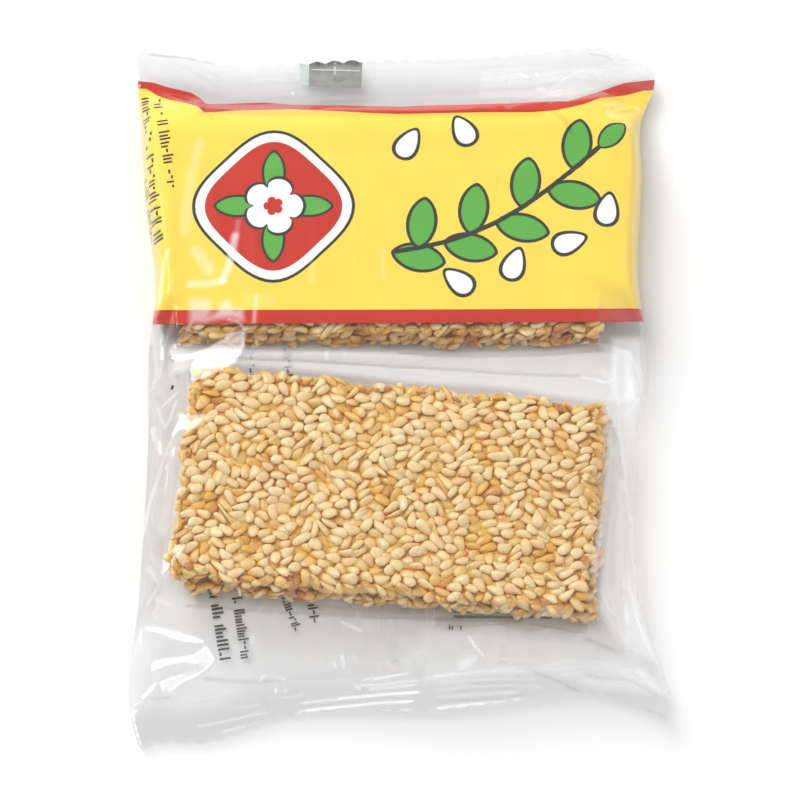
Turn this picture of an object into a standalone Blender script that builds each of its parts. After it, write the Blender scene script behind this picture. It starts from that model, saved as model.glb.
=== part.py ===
"""Two stacks of sesame brittle bars sealed in a flow-wrap film pack that lies on its back.

The pack is one closed solid: a tube of film pinched flat by a crimped seal at each end. It
lies in the XY plane with its length along Y. The top end is at +Y, the printed front faces
+Z and the underside is flat at z = 0. The origin is the middle of the pack's footprint.
"""

import bpy
import numpy as np

MM = 0.001

# Film outline seen from above: (share of the way along the edge, place across it).
LEFT_EDGE = (
    (0.0, -42.8 * MM), (0.045, -44.3 * MM), (0.20, -43.1 * MM), (0.41, -42.0 * MM),
    (0.57, -42.0 * MM), (0.63, -41.3 * MM), (0.78, -43.3 * MM), (0.91, -44.4 * MM),
    (1.0, -45.5 * MM),
)
RIGHT_EDGE = (
    (0.0, 45.0 * MM), (0.028, 45.5 * MM), (0.115, 42.8 * MM), (0.20, 40.7 * MM),
    (0.29, 39.8 * MM), (0.38, 40.5 * MM), (0.53, 43.1 * MM), (0.66, 41.5 * MM),
    (0.815, 42.3 * MM), (0.93, 42.9 * MM), (0.97, 44.7 * MM), (1.0, 44.9 * MM),
)
BOTTOM_EDGE = (
    (0.0, -62.35 * MM), (0.03, -61.5 * MM), (0.117, -61.2 * MM), (0.28, -57.1 * MM),
    (0.36, -56.5 * MM), (0.58, -56.5 * MM), (0.76, -54.4 * MM), (0.85, -53.5 * MM),
    (0.95, -55.9 * MM), (1.0, -57.9 * MM),
)
TOP_EDGE = (
    (0.0, 61.95 * MM), (0.086, 61.3 * MM), (0.154, 60.2 * MM), (0.415, 60.4 * MM),
    (0.658, 60.6 * MM), (0.78, 61.2 * MM), (0.89, 62.3 * MM), (0.962, 60.2 * MM),
    (1.0, 58.75 * MM),
)

# The crimped end seals: how far they reach in, how high they stand off the table from
# left to right, and the pressed ridges that run across them.
BOTTOM_SEAL = 6.7 * MM
TOP_SEAL = 7.3 * MM
BOTTOM_SEAL_RISE = (
    (0.0, 0.9 * MM), (0.12, 1.0 * MM), (0.45, 2.6 * MM), (0.84, 3.4 * MM), (1.0, 2.4 * MM),
)
TOP_SEAL_RISE = (
    (0.0, 3.2 * MM), (0.15, 1.9 * MM), (0.5, 2.3 * MM), (0.88, 3.4 * MM), (1.0, 2.2 * MM),
)
SEAL_THICKNESS = 0.5 * MM
RIDGES = 4
RIDGE_DEPTH = 0.22 * MM

# The two stacks of bars that hold the film up: middle x, middle y and turn about Z.
STACKS = ((-1.3 * MM, 23.6 * MM, np.radians(-0.6)), (-0.5 * MM, -20.2 * MM, np.radians(-4.8)))
BAR_WIDTH = 69.0 * MM
BAR_DEPTH = 36.4 * MM
STACK_TOP = 8.8 * MM
AIR_LIFT = 0.0002 / MM

# The tuck in the front film between the stacks: its ends, height and half width.
TUCK_ENDS = ((-38.0 * MM, 2.9 * MM), (38.0 * MM, 0.2 * MM))
TUCK_HEIGHT = 6.8 * MM
TUCK_HALF_WIDTH = 1.2 * MM

# Where the front and back film fold into each other along the sides, and how roundly.
SIDE_HEIGHT = 3.4 * MM
SIDE_ROUND = 3.6 * MM
SIDE_RUN_OUT = 0.12

# Mesh lines across the pack, along its body and over each ridge, and the drape's own grid.
ACROSS = 28
ALONG = 44
PER_RIDGE = 4
SIDE_CROWDING = 0.12
DRAPE_ACROSS = 60
DRAPE_ALONG = 84
DRAPE_STEPS = 2500

FILM_COLOUR = (0.86, 0.87, 0.86, 1.0)
FILM_ROUGHNESS = 0.12


def curve_through(points, at):
    """Values of a smooth curve through (place, value) points, in cubic pieces."""
    place, value = np.array(points, float).T
    slope = np.gradient(value, place)
    i = np.clip(np.searchsorted(place, at) - 1, 0, len(place) - 2)
    span = place[i + 1] - place[i]
    t = (at - place[i]) / span
    through = (1 + 2 * t) * (1 - t) ** 2 * value[i] + t * t * (3 - 2 * t) * value[i + 1]
    return through + span * (t * (1 - t) ** 2 * slope[i] - t * t * (1 - t) * slope[i + 1])


def plan(u, v):
    """Plan of the film: a patch blended between its four edges, u across and v along."""
    left, right = curve_through(LEFT_EDGE, v), curve_through(RIGHT_EDGE, v)
    bottom, top = curve_through(BOTTOM_EDGE, u), curve_through(TOP_EDGE, u)
    x = left * (1 - u) + right * u
    y = bottom * (1 - v) + top * v
    return x, y


def seal_shares():
    """The shares of the film's length that the bottom and the top seal take."""
    length = np.mean([y for _, y in TOP_EDGE]) - np.mean([y for _, y in BOTTOM_EDGE])
    return BOTTOM_SEAL / length, TOP_SEAL / length


def along_body(v):
    """Share of the way from the bottom seal to the top one, 0 or 1 on the seals."""
    bottom_share, top_share = seal_shares()
    return np.clip((v - bottom_share) / (1 - bottom_share - top_share), 0, 1)


def outside_bars(x, y):
    """Distance outside the nearer stack of bars in plan, negative over the bars."""
    distances = []
    for middle_x, middle_y, turn in STACKS:
        along = (x - middle_x) * np.cos(turn) + (y - middle_y) * np.sin(turn)
        across = (y - middle_y) * np.cos(turn) - (x - middle_x) * np.sin(turn)
        distances.append(np.maximum(abs(along) - BAR_WIDTH / 2, abs(across) - BAR_DEPTH / 2))
    return np.minimum(*distances)


def in_tuck(x, y):
    """Whether each place lies in the tuck between the stacks."""
    (x0, y0), (x1, y1) = TUCK_ENDS
    middle = y0 + (y1 - y0) * (x - x0) / (x1 - x0)
    return (abs(y - middle) < TUCK_HALF_WIDTH) & (x > x0) & (x < x1)


def fold_height(u, inner):
    """Height at which front and back meet: that of the seals, and of the side folds."""
    ends = curve_through(BOTTOM_SEAL_RISE, u) * (1 - inner) + curve_through(TOP_SEAL_RISE, u) * inner
    away = np.clip(np.minimum(inner, 1 - inner) / SIDE_RUN_OUT, 0, 1) ** 0.7
    return ends * (1 - away) + SIDE_HEIGHT * away


def drape():
    """Heights of fold, front and back on a regular grid, as skins stretched over the bars.

    Each height moves again and again to the mean of its four neighbours. The front is
    kept above the bars, lifted a little by the air inside and tucked in between the
    stacks. The back lies flat under the bars.
    """
    bottom_share, top_share = seal_shares()
    across = np.linspace(0, 1, DRAPE_ACROSS + 1)
    along = np.linspace(bottom_share, 1 - top_share, DRAPE_ALONG + 1)
    u, v = np.meshgrid(across, along)
    x, y = plan(u, v)
    outside = outside_bars(x, y)
    dx = (x[0, -1] - x[0, 0]) / DRAPE_ACROSS
    dy = (y[-1, 0] - y[0, 0]) / DRAPE_ALONG
    both = 2 * (dx * dx + dy * dy)
    lift = AIR_LIFT * dx * dx * dy * dy / both
    rim = fold_height(u, along_body(v))
    held = np.ones_like(rim, bool)
    held[1:-1, 1:-1] = False
    bars = np.where((outside < 0) & ~held, STACK_TOP, 0)
    resting = (outside < MM) & ~held
    tucked = in_tuck(x, y) & (outside > 0)
    front, back = rim.copy(), rim.copy()
    for _ in range(DRAPE_STEPS):
        for skin in (front, back):
            beside = (np.roll(skin, 1, 1) + np.roll(skin, -1, 1)) * dy * dy / both
            before = (np.roll(skin, 1, 0) + np.roll(skin, -1, 0)) * dx * dx / both
            skin[:] = np.where(held, rim, beside + before)
        front[:] = np.where(held, rim, np.maximum(front + lift, bars))
        front[tucked] = np.minimum(front[tucked], TUCK_HEIGHT)
        back[resting] = 0
    return rim, front, back


def sample(grid, u, v):
    """Reading of a drape grid between its points, at shares u across and v along."""
    rows, columns = grid.shape[0] - 1, grid.shape[1] - 1
    i = np.clip((v * rows).astype(int), 0, rows - 1)
    j = np.clip((u * columns).astype(int), 0, columns - 1)
    a, b = v * rows - i, u * columns - j
    low = grid[i, j] * (1 - b) + grid[i, j + 1] * b
    high = grid[i + 1, j] * (1 - b) + grid[i + 1, j + 1] * b
    return low * (1 - a) + high * a


def ridges(v):
    """Height of the pressed ridges across both seals, and 0 on the body."""
    bottom_share, top_share = seal_shares()
    bottom = np.clip(v / bottom_share, 0, 1)
    top = np.clip((1 - v) / top_share, 0, 1)
    return RIDGE_DEPTH * (np.sin(2 * np.pi * RIDGES * bottom) + np.sin(2 * np.pi * RIDGES * top))


def film(u, v):
    """Front and back points of the film, which meet all round the rim."""
    x, y = plan(u, v)
    fold, front, back = (sample(skin, u, along_body(v)) for skin in drape())
    left, right = curve_through(LEFT_EDGE, v), curve_through(RIGHT_EDGE, v)
    reach = np.clip(np.minimum(x - left, right - x) / SIDE_ROUND, 1e-6, 1)
    rounding = np.sqrt(1 - (1 - reach) ** 2) / reach
    apart = SEAL_THICKNESS / 2 * np.ones_like(u)
    apart[0] = apart[-1] = apart[:, 0] = apart[:, -1] = 0
    front = fold + (front - fold) * rounding + ridges(v) + apart
    back = fold + (back - fold) * rounding + ridges(v) - apart
    return np.stack((x, y, front), -1), np.stack((x, y, np.maximum(back, 0)), -1)


def mesh_lines():
    """Shares across, closer at the sides, and shares along, closer on the seals."""
    even = np.linspace(0, 1, ACROSS + 1)
    across = even - SIDE_CROWDING * np.sin(2 * np.pi * even)
    bottom_share, top_share = seal_shares()
    bottom = np.linspace(0, bottom_share, RIDGES * PER_RIDGE + 1)
    body = np.linspace(bottom_share, 1 - top_share, ALONG + 1)
    top = np.linspace(1 - top_share, 1, RIDGES * PER_RIDGE + 1)
    return across, np.concatenate((bottom, body[1:-1], top))


def film_material():
    """Clear glossy polypropylene film, shown as a pale even surface."""
    material = bpy.data.materials.new("clear_film")
    material.use_nodes = True
    shader = material.node_tree.nodes["Principled BSDF"]
    shader.inputs["Base Color"].default_value = FILM_COLOUR
    shader.inputs["Roughness"].default_value = FILM_ROUGHNESS
    shader.inputs["Metallic"].default_value = 0.0
    return material


def build_bag():
    """The pack as one closed solid: a front grid and a back grid with a shared rim."""
    across, along = mesh_lines()
    u, v = np.meshgrid(across, along)
    front, back = film(u, v)
    rows, columns = u.shape
    upper = np.arange(rows * columns).reshape(rows, columns)
    lower = upper.copy()
    lower[1:-1, 1:-1] = rows * columns + np.arange((rows - 2) * (columns - 2)).reshape(rows - 2, -1)
    points = np.concatenate((front.reshape(-1, 3), back[1:-1, 1:-1].reshape(-1, 3)))
    faces = []
    for grid, turned in ((upper, False), (lower, True)):
        quads = np.stack((grid[:-1, :-1], grid[:-1, 1:], grid[1:, 1:], grid[1:, :-1]), -1)
        quads = quads.reshape(-1, 4)
        faces += (quads[:, ::-1] if turned else quads).tolist()
    mesh = bpy.data.meshes.new("bag")
    mesh.from_pydata(points.tolist(), [], faces)
    mesh.shade_smooth()
    mesh.materials.append(film_material())
    bag = bpy.data.objects.new("bag", mesh)
    bpy.context.scene.collection.objects.link(bag)
    return bag


for existing in list(bpy.data.objects):
    bpy.data.objects.remove(existing)
build_bag()
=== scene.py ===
"""Sesame brittle bars sealed in a clear flow-wrap pack, lying on a pale studio floor.

The sections follow the pack as it is put together: the bars of seeds in caramel, the clear
film round them, the inks on the film, the seam and the marks on the back, and then the
floor, the lights and the camera. Lengths are in millimetres until a mesh is made.
"""

import bpy
import numpy as np
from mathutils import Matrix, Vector
from mathutils.geometry import delaunay_2d_cdt


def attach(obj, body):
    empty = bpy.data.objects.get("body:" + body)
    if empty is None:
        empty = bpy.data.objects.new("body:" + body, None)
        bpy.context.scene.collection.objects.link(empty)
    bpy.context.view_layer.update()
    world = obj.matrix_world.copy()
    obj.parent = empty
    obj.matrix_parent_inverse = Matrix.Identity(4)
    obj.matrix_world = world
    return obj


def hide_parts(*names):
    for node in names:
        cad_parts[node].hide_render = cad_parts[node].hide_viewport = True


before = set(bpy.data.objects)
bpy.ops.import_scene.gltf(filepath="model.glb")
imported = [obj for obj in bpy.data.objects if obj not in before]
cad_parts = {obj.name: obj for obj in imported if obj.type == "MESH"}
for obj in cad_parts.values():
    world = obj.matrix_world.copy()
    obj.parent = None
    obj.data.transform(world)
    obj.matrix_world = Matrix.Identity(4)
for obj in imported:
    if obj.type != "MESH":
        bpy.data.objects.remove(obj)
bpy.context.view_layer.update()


# The brittle bars. Two stacks of two bars lie side by side. A bar is a thin slab of hard
# amber caramel, pressed, scored and broken to size while warm, so its edges are uneven.
BAR_THICKNESS = 3.3
BARS = {
    "upper_low": {"middle": (-1.0, 26.7), "size": (71.4, 36.4), "base": 0.55, "turn": -0.4, "draw": 11},
    "upper_top": {"middle": (-1.4, 27.1), "size": (71.6, 36.4), "base": 3.9, "turn": -0.7, "draw": 12},
    "lower_low": {"middle": (-0.1, -19.7), "size": (69.2, 36.2), "base": 0.55, "turn": -4.8, "draw": 13},
    "lower_top": {"middle": (-1.4, -19.0), "size": (69.7, 36.4), "base": 3.9, "turn": -5.5, "draw": 14},
}
TAPER = 0.012
SLAB_COLUMNS, SLAB_ROWS = 97, 57
SLAB_INSET, SLAB_SINK = 0.7, 0.62
EDGE_WAVES = ((0.34, 9.0, 0.3), (0.26, 17.0, 1.9), (0.17, 5.1, 4.0))


def grid_faces(rows, columns, first=0):
    """Quads between the points of a grid that is numbered row by row."""
    index = first + np.arange(rows * columns).reshape(rows, columns)
    quads = (index[:-1, :-1], index[:-1, 1:], index[1:, 1:], index[1:, :-1])
    return np.stack(quads, -1).reshape(-1, 4)


def make_piece(name, points, faces, material, slot, values=None, rides=True):
    """A smooth mesh object from points in millimetres, with one number a point in values."""
    mesh = bpy.data.meshes.new(name)
    points = np.asarray(points, float).reshape(-1, 3)
    faces = np.asarray(faces)
    corners = faces.shape[1]
    mesh.vertices.add(len(points))
    mesh.vertices.foreach_set("co", (points * 0.001).astype(np.float32).ravel())
    mesh.loops.add(faces.size)
    mesh.loops.foreach_set("vertex_index", faces.astype(np.int32).ravel())
    mesh.polygons.add(len(faces))
    mesh.polygons.foreach_set("loop_start", np.arange(0, faces.size, corners, dtype=np.int32))
    mesh.update(calc_edges=True)
    mesh.validate()
    for key, numbers in (values or {}).items():
        layer = mesh.attributes.new(key, "FLOAT", "POINT")
        layer.data.foreach_set("value", np.asarray(numbers, np.float32).ravel())
    mesh.shade_smooth()
    mesh.materials.append(material)
    thing = bpy.data.objects.new(name, mesh)
    bpy.context.scene.collection.objects.link(thing)
    if rides:
        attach(thing, "root")
    return thing


def new_material(name, colour, roughness, **sockets):
    """A Principled material with plain values on its sockets; returns it, tree and shader."""
    material = bpy.data.materials.new(name)
    material.use_nodes = True
    tree = material.node_tree
    shader = tree.nodes["Principled BSDF"]
    shader.inputs["Base Color"].default_value = (*colour, 1)
    shader.inputs["Roughness"].default_value = roughness
    for key, value in sockets.items():
        shader.inputs[key.replace("_", " ")].default_value = value
    return material, tree, shader


def node(tree, kind, inputs=None, **settings):
    """A node with its settings, its plain inputs and its links, given by socket."""
    made = tree.nodes.new(kind)
    for key, value in settings.items():
        setattr(made, key, value)
    for key, value in (inputs or {}).items():
        if isinstance(value, bpy.types.NodeSocket):
            tree.links.new(value, made.inputs[key])
        else:
            made.inputs[key].default_value = value
    return made


def mottle_group():
    """Node group: soft cloudy variation, as a value round 0.5 and as a bumped normal."""
    group = bpy.data.node_groups.new("mottle", "ShaderNodeTree")
    for key, default in (("Scale", 400.0), ("Detail", 3.0), ("Bump", 0.2), ("Distance", 0.0002)):
        socket = group.interface.new_socket(key, in_out="INPUT", socket_type="NodeSocketFloat")
        socket.default_value = default
    group.interface.new_socket("Value", in_out="OUTPUT", socket_type="NodeSocketFloat")
    group.interface.new_socket("Normal", in_out="OUTPUT", socket_type="NodeSocketVector")
    given, out = group.nodes.new("NodeGroupInput"), group.nodes.new("NodeGroupOutput")
    place = node(group, "ShaderNodeTexCoord").outputs["Object"]
    scale, detail, strength, distance = given.outputs[:4]
    noise = node(group, "ShaderNodeTexNoise", {"Vector": place, "Scale": scale, "Detail": detail})
    pressed = {"Strength": strength, "Distance": distance, "Height": noise.outputs["Fac"]}
    bump = node(group, "ShaderNodeBump", pressed)
    group.links.new(noise.outputs["Fac"], out.inputs["Value"])
    group.links.new(bump.outputs["Normal"], out.inputs["Normal"])
    return group


def mottled(tree, **inputs):
    """Value and normal of the mottle group, placed in a material with its own values."""
    placed = tree.nodes.new("ShaderNodeGroup")
    placed.node_tree = mottle
    for key, value in inputs.items():
        placed.inputs[key].default_value = value
    return placed.outputs["Value"], placed.outputs["Normal"]


def ramp(tree, factor, stops):
    """A colour ramp read at factor; stops are (place, colour) pairs."""
    made = node(tree, "ShaderNodeValToRGB", {"Fac": factor})
    elements = made.color_ramp.elements
    while len(elements) < len(stops):
        elements.new(0.5)
    for element, (place, colour) in zip(elements, stops):
        element.position = place
        element.color = (*colour, 1)
    return made.outputs["Color"]


def reading(tree, name):
    """The number that each point of a mesh holds under a name."""
    return node(tree, "ShaderNodeAttribute", attribute_name=name).outputs["Fac"]


def worked(tree, operation, *values, **settings):
    """One step of arithmetic on numbers and sockets."""
    return node(tree, "ShaderNodeMath", dict(enumerate(values)), operation=operation, **settings).outputs[0]


def mapped(tree, value, low=0.0, high=1.0, to_low=0.0, to_high=1.0, **settings):
    """A value carried from the span low to high onto another span, and held at its ends."""
    spans = {"Value": value, "From Min": low, "From Max": high, "To Min": to_low, "To Max": to_high}
    return node(tree, "ShaderNodeMapRange", spans, **settings).outputs["Result"]


def blended(tree, factor, first, second, **settings):
    """A colour between first and a second one, which is plain or a socket."""
    second = (*second, 1) if isinstance(second, tuple) else second
    inputs = {"Factor": factor, 6: first, 7: second}
    return node(tree, "ShaderNodeMix", inputs, data_type="RGBA", **settings).outputs[2]


def uneven(points, bar):
    """Bar points moved in plan by slow waves, so that its edges wander as broken ones do."""
    shift = np.zeros_like(points)
    for height, length, phase in EDGE_WAVES:
        phase = phase + bar["draw"]
        shift[..., 0] += height * np.sin(2 * np.pi * points[..., 1] / length + phase)
        shift[..., 1] += height * np.sin(2 * np.pi * points[..., 0] / length + 2 * phase)
        shift[..., 2] += 0.35 * height * np.sin(2 * np.pi * (points[..., 0] + points[..., 1]) / length)
    return points + shift * (1.0, 1.0, 0.6)


def on_bar(points, bar):
    """Points in a bar's own frame, middle of its slab, put where the bar lies."""
    turn = np.radians(bar["turn"])
    x, y, z = np.moveaxis(uneven(points, bar), -1, 0)
    y = y * (1 - TAPER * x / bar["size"][0] * 2)
    placed = (
        bar["middle"][0] + x * np.cos(turn) - y * np.sin(turn),
        bar["middle"][1] + x * np.sin(turn) + y * np.cos(turn),
        bar["base"] + BAR_THICKNESS / 2 + z,
    )
    return np.stack(placed, -1)


def caramel_slab(bar):
    """A slab as two grids with one rim, a box whose height falls off near its edges as a
    root of one less a high power. Its faces have lumps, pits and raised pools."""
    w, h = np.linspace(-1, 1, SLAB_COLUMNS), np.linspace(-1, 1, SLAB_ROWS)
    u, v = np.meshgrid(*(np.sin(t * np.pi / 2) * 0.35 + t * 0.65 for t in (w, h)))
    fall = ((1 - abs(u) ** 14) * (1 - abs(v) ** 10)).clip(0, 1) ** 0.3
    x, y = u * (bar["size"][0] / 2 - SLAB_INSET), v * (bar["size"][1] / 2 - SLAB_INSET)
    lumps = np.sin(1.9 * x + 2 * np.sin(0.8 * y)) * np.sin(2.3 * y + 1.7 * np.sin(1.1 * x))
    pits = np.sin(1.3 * x + 2.1 * np.sin(1.7 * y)) * np.sin(1.5 * y + 1.9 * np.sin(1.2 * x))
    pools = np.sin(0.9 * x + 1.7 * np.sin(0.8 * y + 1)) * np.sin(1.1 * y + 1.4 * np.sin(0.7 * x))
    relief = 0.16 * lumps - 0.5 * np.clip(pits - 0.3, 0, 1) + 0.45 * np.clip(pools - 0.2, 0, 1)
    z = fall * (BAR_THICKNESS / 2 - SLAB_SINK + relief)
    top, low = np.stack((x, y, z), -1), np.stack((x, y, -z), -1)
    rows, columns = u.shape
    faces = np.concatenate((grid_faces(rows, columns), grid_faces(rows, columns, rows * columns)[:, ::-1]))
    points = on_bar(np.concatenate((top.reshape(-1, 3), low.reshape(-1, 3))), bar)
    rim = np.zeros((rows, columns), bool)
    rim[[0, -1], :] = rim[:, [0, -1]] = True
    joined = np.arange(2 * rows * columns)
    joined[rows * columns:][rim.ravel()] = np.flatnonzero(rim)
    return points, joined[faces]


mottle = mottle_group()
coat = {"Coat_Weight": 0.6, "Coat_Roughness": 0.08}
caramel, tree, shader = new_material("amber_caramel", (0.80, 0.46, 0.14), 0.22, **coat)
cloud, bumps = mottled(tree, Scale=260.0, Detail=3.0, Bump=0.35, Distance=0.0003)
ambers = ((0.25, (0.58, 0.28, 0.07)), (0.5, (0.80, 0.46, 0.14)), (0.75, (0.92, 0.62, 0.25)))
tree.links.new(ramp(tree, cloud, ambers), shader.inputs["Base Color"])
tree.links.new(bumps, shader.inputs["Normal"])
for name, bar in BARS.items():
    make_piece(f"caramel_{name}", *caramel_slab(bar), caramel, "caramel")


# The sesame seeds. Hulled seeds, flat drops about 3 by 1.8 by 1 mm, lie pressed into the
# caramel on every face of a bar, with a second layer showing between the first. Where
# caramel pooled, at the amber spots, it glazes the seeds orange.
SEED_LENGTH, SEED_WIDTH, SEED_HEIGHT = 2.95, 1.76, 1.04
SEED_RINGS, SEED_SIDES = 5, 10
SEED_FLOOR = 0.34
SEED_LAYERS = ((-0.32, 0.22), (-0.82, 0.16))
FACE_SEEDS = {"top": (700, 360), "underside": (500, 200), "long side": (46, 34), "short side": (24, 18)}
RIM_WIDTH = 2.6
FLAT_TILT, SIDE_TILT, STEEP_SHARE, STEEPEST = 12.0, 24.0, 0.10, 60
ROW_OF_DISCS = np.array((-0.78, 0.0, 0.80))
DISC_RADII = np.array((0.66, 0.80, 0.54))
SPREAD_STEPS = np.array((0.7548777, 0.5698403))
AMBER_SPOTS = np.array((
    (-21.1, -11.2), (-31.1, -21.5), (-24.8, -27.8), (-16.2, -35.8), (14.2, -12.3), (14.3, -28.7),
    (16.0, -19.0), (7.2, -36.0), (27.2, -4.6), (-31.5, -3.2), (-8.5, -6.0), (25.0, -31.0), (-2.0, -20.0),
    (-27.0, 8.2), (-6.0, 9.4), (12.0, 8.6), (28.0, 9.6),
))
AMBER_REACH = 1.6


def seed_shape():
    """One seed along +X: flattened rings on a half circle, narrowed towards the tip."""
    t = np.linspace(-1, 1, SEED_RINGS + 2)
    x = np.sin(t * np.pi / 2) * 0.55 + t * 0.45
    radius = np.clip(1 - abs(x) ** 2.2, 0, 1) ** 0.5 * (1 - 0.28 * x) / 1.02
    angle = np.arange(SEED_SIDES) * 2 * np.pi / SEED_SIDES
    parts = [np.repeat(x[1:-1], SEED_SIDES) * SEED_LENGTH / 2]
    for side, span in ((np.cos(angle), SEED_WIDTH), (np.sin(angle), SEED_HEIGHT)):
        parts.append(np.outer(radius[1:-1], np.sign(side) * abs(side) ** 0.84).ravel() * span / 2)
    rings = np.stack(parts, -1)
    ends = np.array(((-SEED_LENGTH / 2, 0, 0), (SEED_LENGTH / 2, 0, 0)))
    ring = np.arange(SEED_SIDES)
    after = (ring + 1) % SEED_SIDES
    faces = []
    for k in range(SEED_RINGS - 1):
        a, b = k * SEED_SIDES, (k + 1) * SEED_SIDES
        faces.append(np.stack((a + ring, b + ring, b + after), -1))
        faces.append(np.stack((a + ring, b + after, a + after), -1))
    last = (SEED_RINGS - 1) * SEED_SIDES
    low, high = SEED_RINGS * SEED_SIDES, SEED_RINGS * SEED_SIDES + 1
    faces.append(np.stack((ring, after, np.full_like(ring, low)), -1))
    faces.append(np.stack((last + after, last + ring, np.full_like(ring, high)), -1))
    return np.concatenate((rings, ends)), np.concatenate(faces)


def settle(count, width, depth, draw, rounds=60):
    """Places and turns of seeds spread on a rectangle until they hardly overlap.

    A seed counts as three discs in a row. Where discs of two seeds overlap, each seed is
    pushed away along the line between the discs and turned by the push's lever. They
    start evenly spread, each a fixed step on from the last and wrapped round the sides,
    and mostly lie along the first side, as the rolled slab leaves them.
    """
    steps = np.arange(count)[:, None] * SPREAD_STEPS + draw.random(2)
    place = (steps % 1 - 0.5) * (width, depth)
    turn = draw.normal(0, 0.62, count) + np.pi * draw.integers(0, 2, count)
    reach = DISC_RADII[:, None] + DISC_RADII[None]
    for step in range(rounds):
        if step % 6 == 0:
            gap = place[:, None] - place[None]
            i, j = np.argwhere(np.triu((gap**2).sum(-1) < 3.5**2, 1)).T
        way = np.stack((np.cos(turn), np.sin(turn)), -1)
        discs = place[:, None] + ROW_OF_DISCS[None, :, None] * way[:, None]
        apart = discs[i][:, :, None] - discs[j][:, None]
        length = np.sqrt((apart**2).sum(-1)) + 1e-9
        push = apart * (np.clip(reach - length, 0, None) / length * 0.3)[..., None]
        for seeds, pushes in ((i, push.sum(2)), (j, -push.sum(1))):
            lever = pushes[..., 1] * way[seeds, None, 0] - pushes[..., 0] * way[seeds, None, 1]
            turn += np.bincount(seeds, lever @ ROW_OF_DISCS, count) * 0.6
            total = pushes.sum(1)
            place += np.stack([np.bincount(seeds, total[:, k], count) for k in (0, 1)], -1)
        place = np.clip(place, (-width / 2, -depth / 2), (width / 2, depth / 2))
    return place, turn


def lay_seeds(place, turn, height, face, draw, tilt):
    """Frames of seeds on one face of a bar: middle, and the seed's long, wide and high axes.

    face is (middle of the face, its first axis, its second axis); the seeds' heights are
    measured out of the face, and each seed leans by a random tilt about both flat axes.
    A few stand much steeper about their long axis.
    """
    middle, first, second = (np.array(a, float) for a in face)
    out = np.cross(first, second)
    count = len(place)
    lean = np.radians(draw.normal(0, tilt, (2, count)))
    steep = draw.random(count) < STEEP_SHARE
    lean[1] += np.where(steep, np.radians(draw.uniform(-STEEPEST, STEEPEST, count)), 0)
    flat = np.cos(turn)[:, None] * first + np.sin(turn)[:, None] * second
    wide = np.cos(turn)[:, None] * second - np.sin(turn)[:, None] * first
    along = flat * np.cos(lean[0])[:, None] + out * np.sin(lean[0])[:, None]
    up = np.cross(along, wide)
    across = wide * np.cos(lean[1])[:, None] + up * np.sin(lean[1])[:, None]
    up = np.cross(along, across)
    centre = middle + place[:, :1] * first + place[:, 1:] * second + np.asarray(height)[:, None] * out
    return centre, np.stack((along, across, up), 1), np.broadcast_to(out, centre.shape)


def faces_of_bar(name, bar):
    """The faces of a bar that can be seen: (face, width, depth, seeds of each layer, rim only)."""
    x, y, z = bar["size"][0] / 2, bar["size"][1] / 2, BAR_THICKNESS / 2
    covered = name.endswith("low")
    found = [(((0, 0, z), (1, 0, 0), (0, 1, 0)), 2 * x, 2 * y, FACE_SEEDS["top"], covered)]
    if covered:
        low = ((0, 0, -z), (-1, 0, 0), (0, 1, 0))
        found.append((low, 2 * x, 2 * y, FACE_SEEDS["underside"], False))
    for side in (-1, 1):
        long = ((0, side * y, 0), (-side, 0, 0), (0, 0, 1))
        short = ((side * x, 0, 0), (0, side, 0), (0, 0, 1))
        found.append((long, 2 * x - 1, 2 * z - 0.9, FACE_SEEDS["long side"], False))
        found.append((short, 2 * y - 1, 2 * z - 0.9, FACE_SEEDS["short side"], False))
    return found


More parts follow.
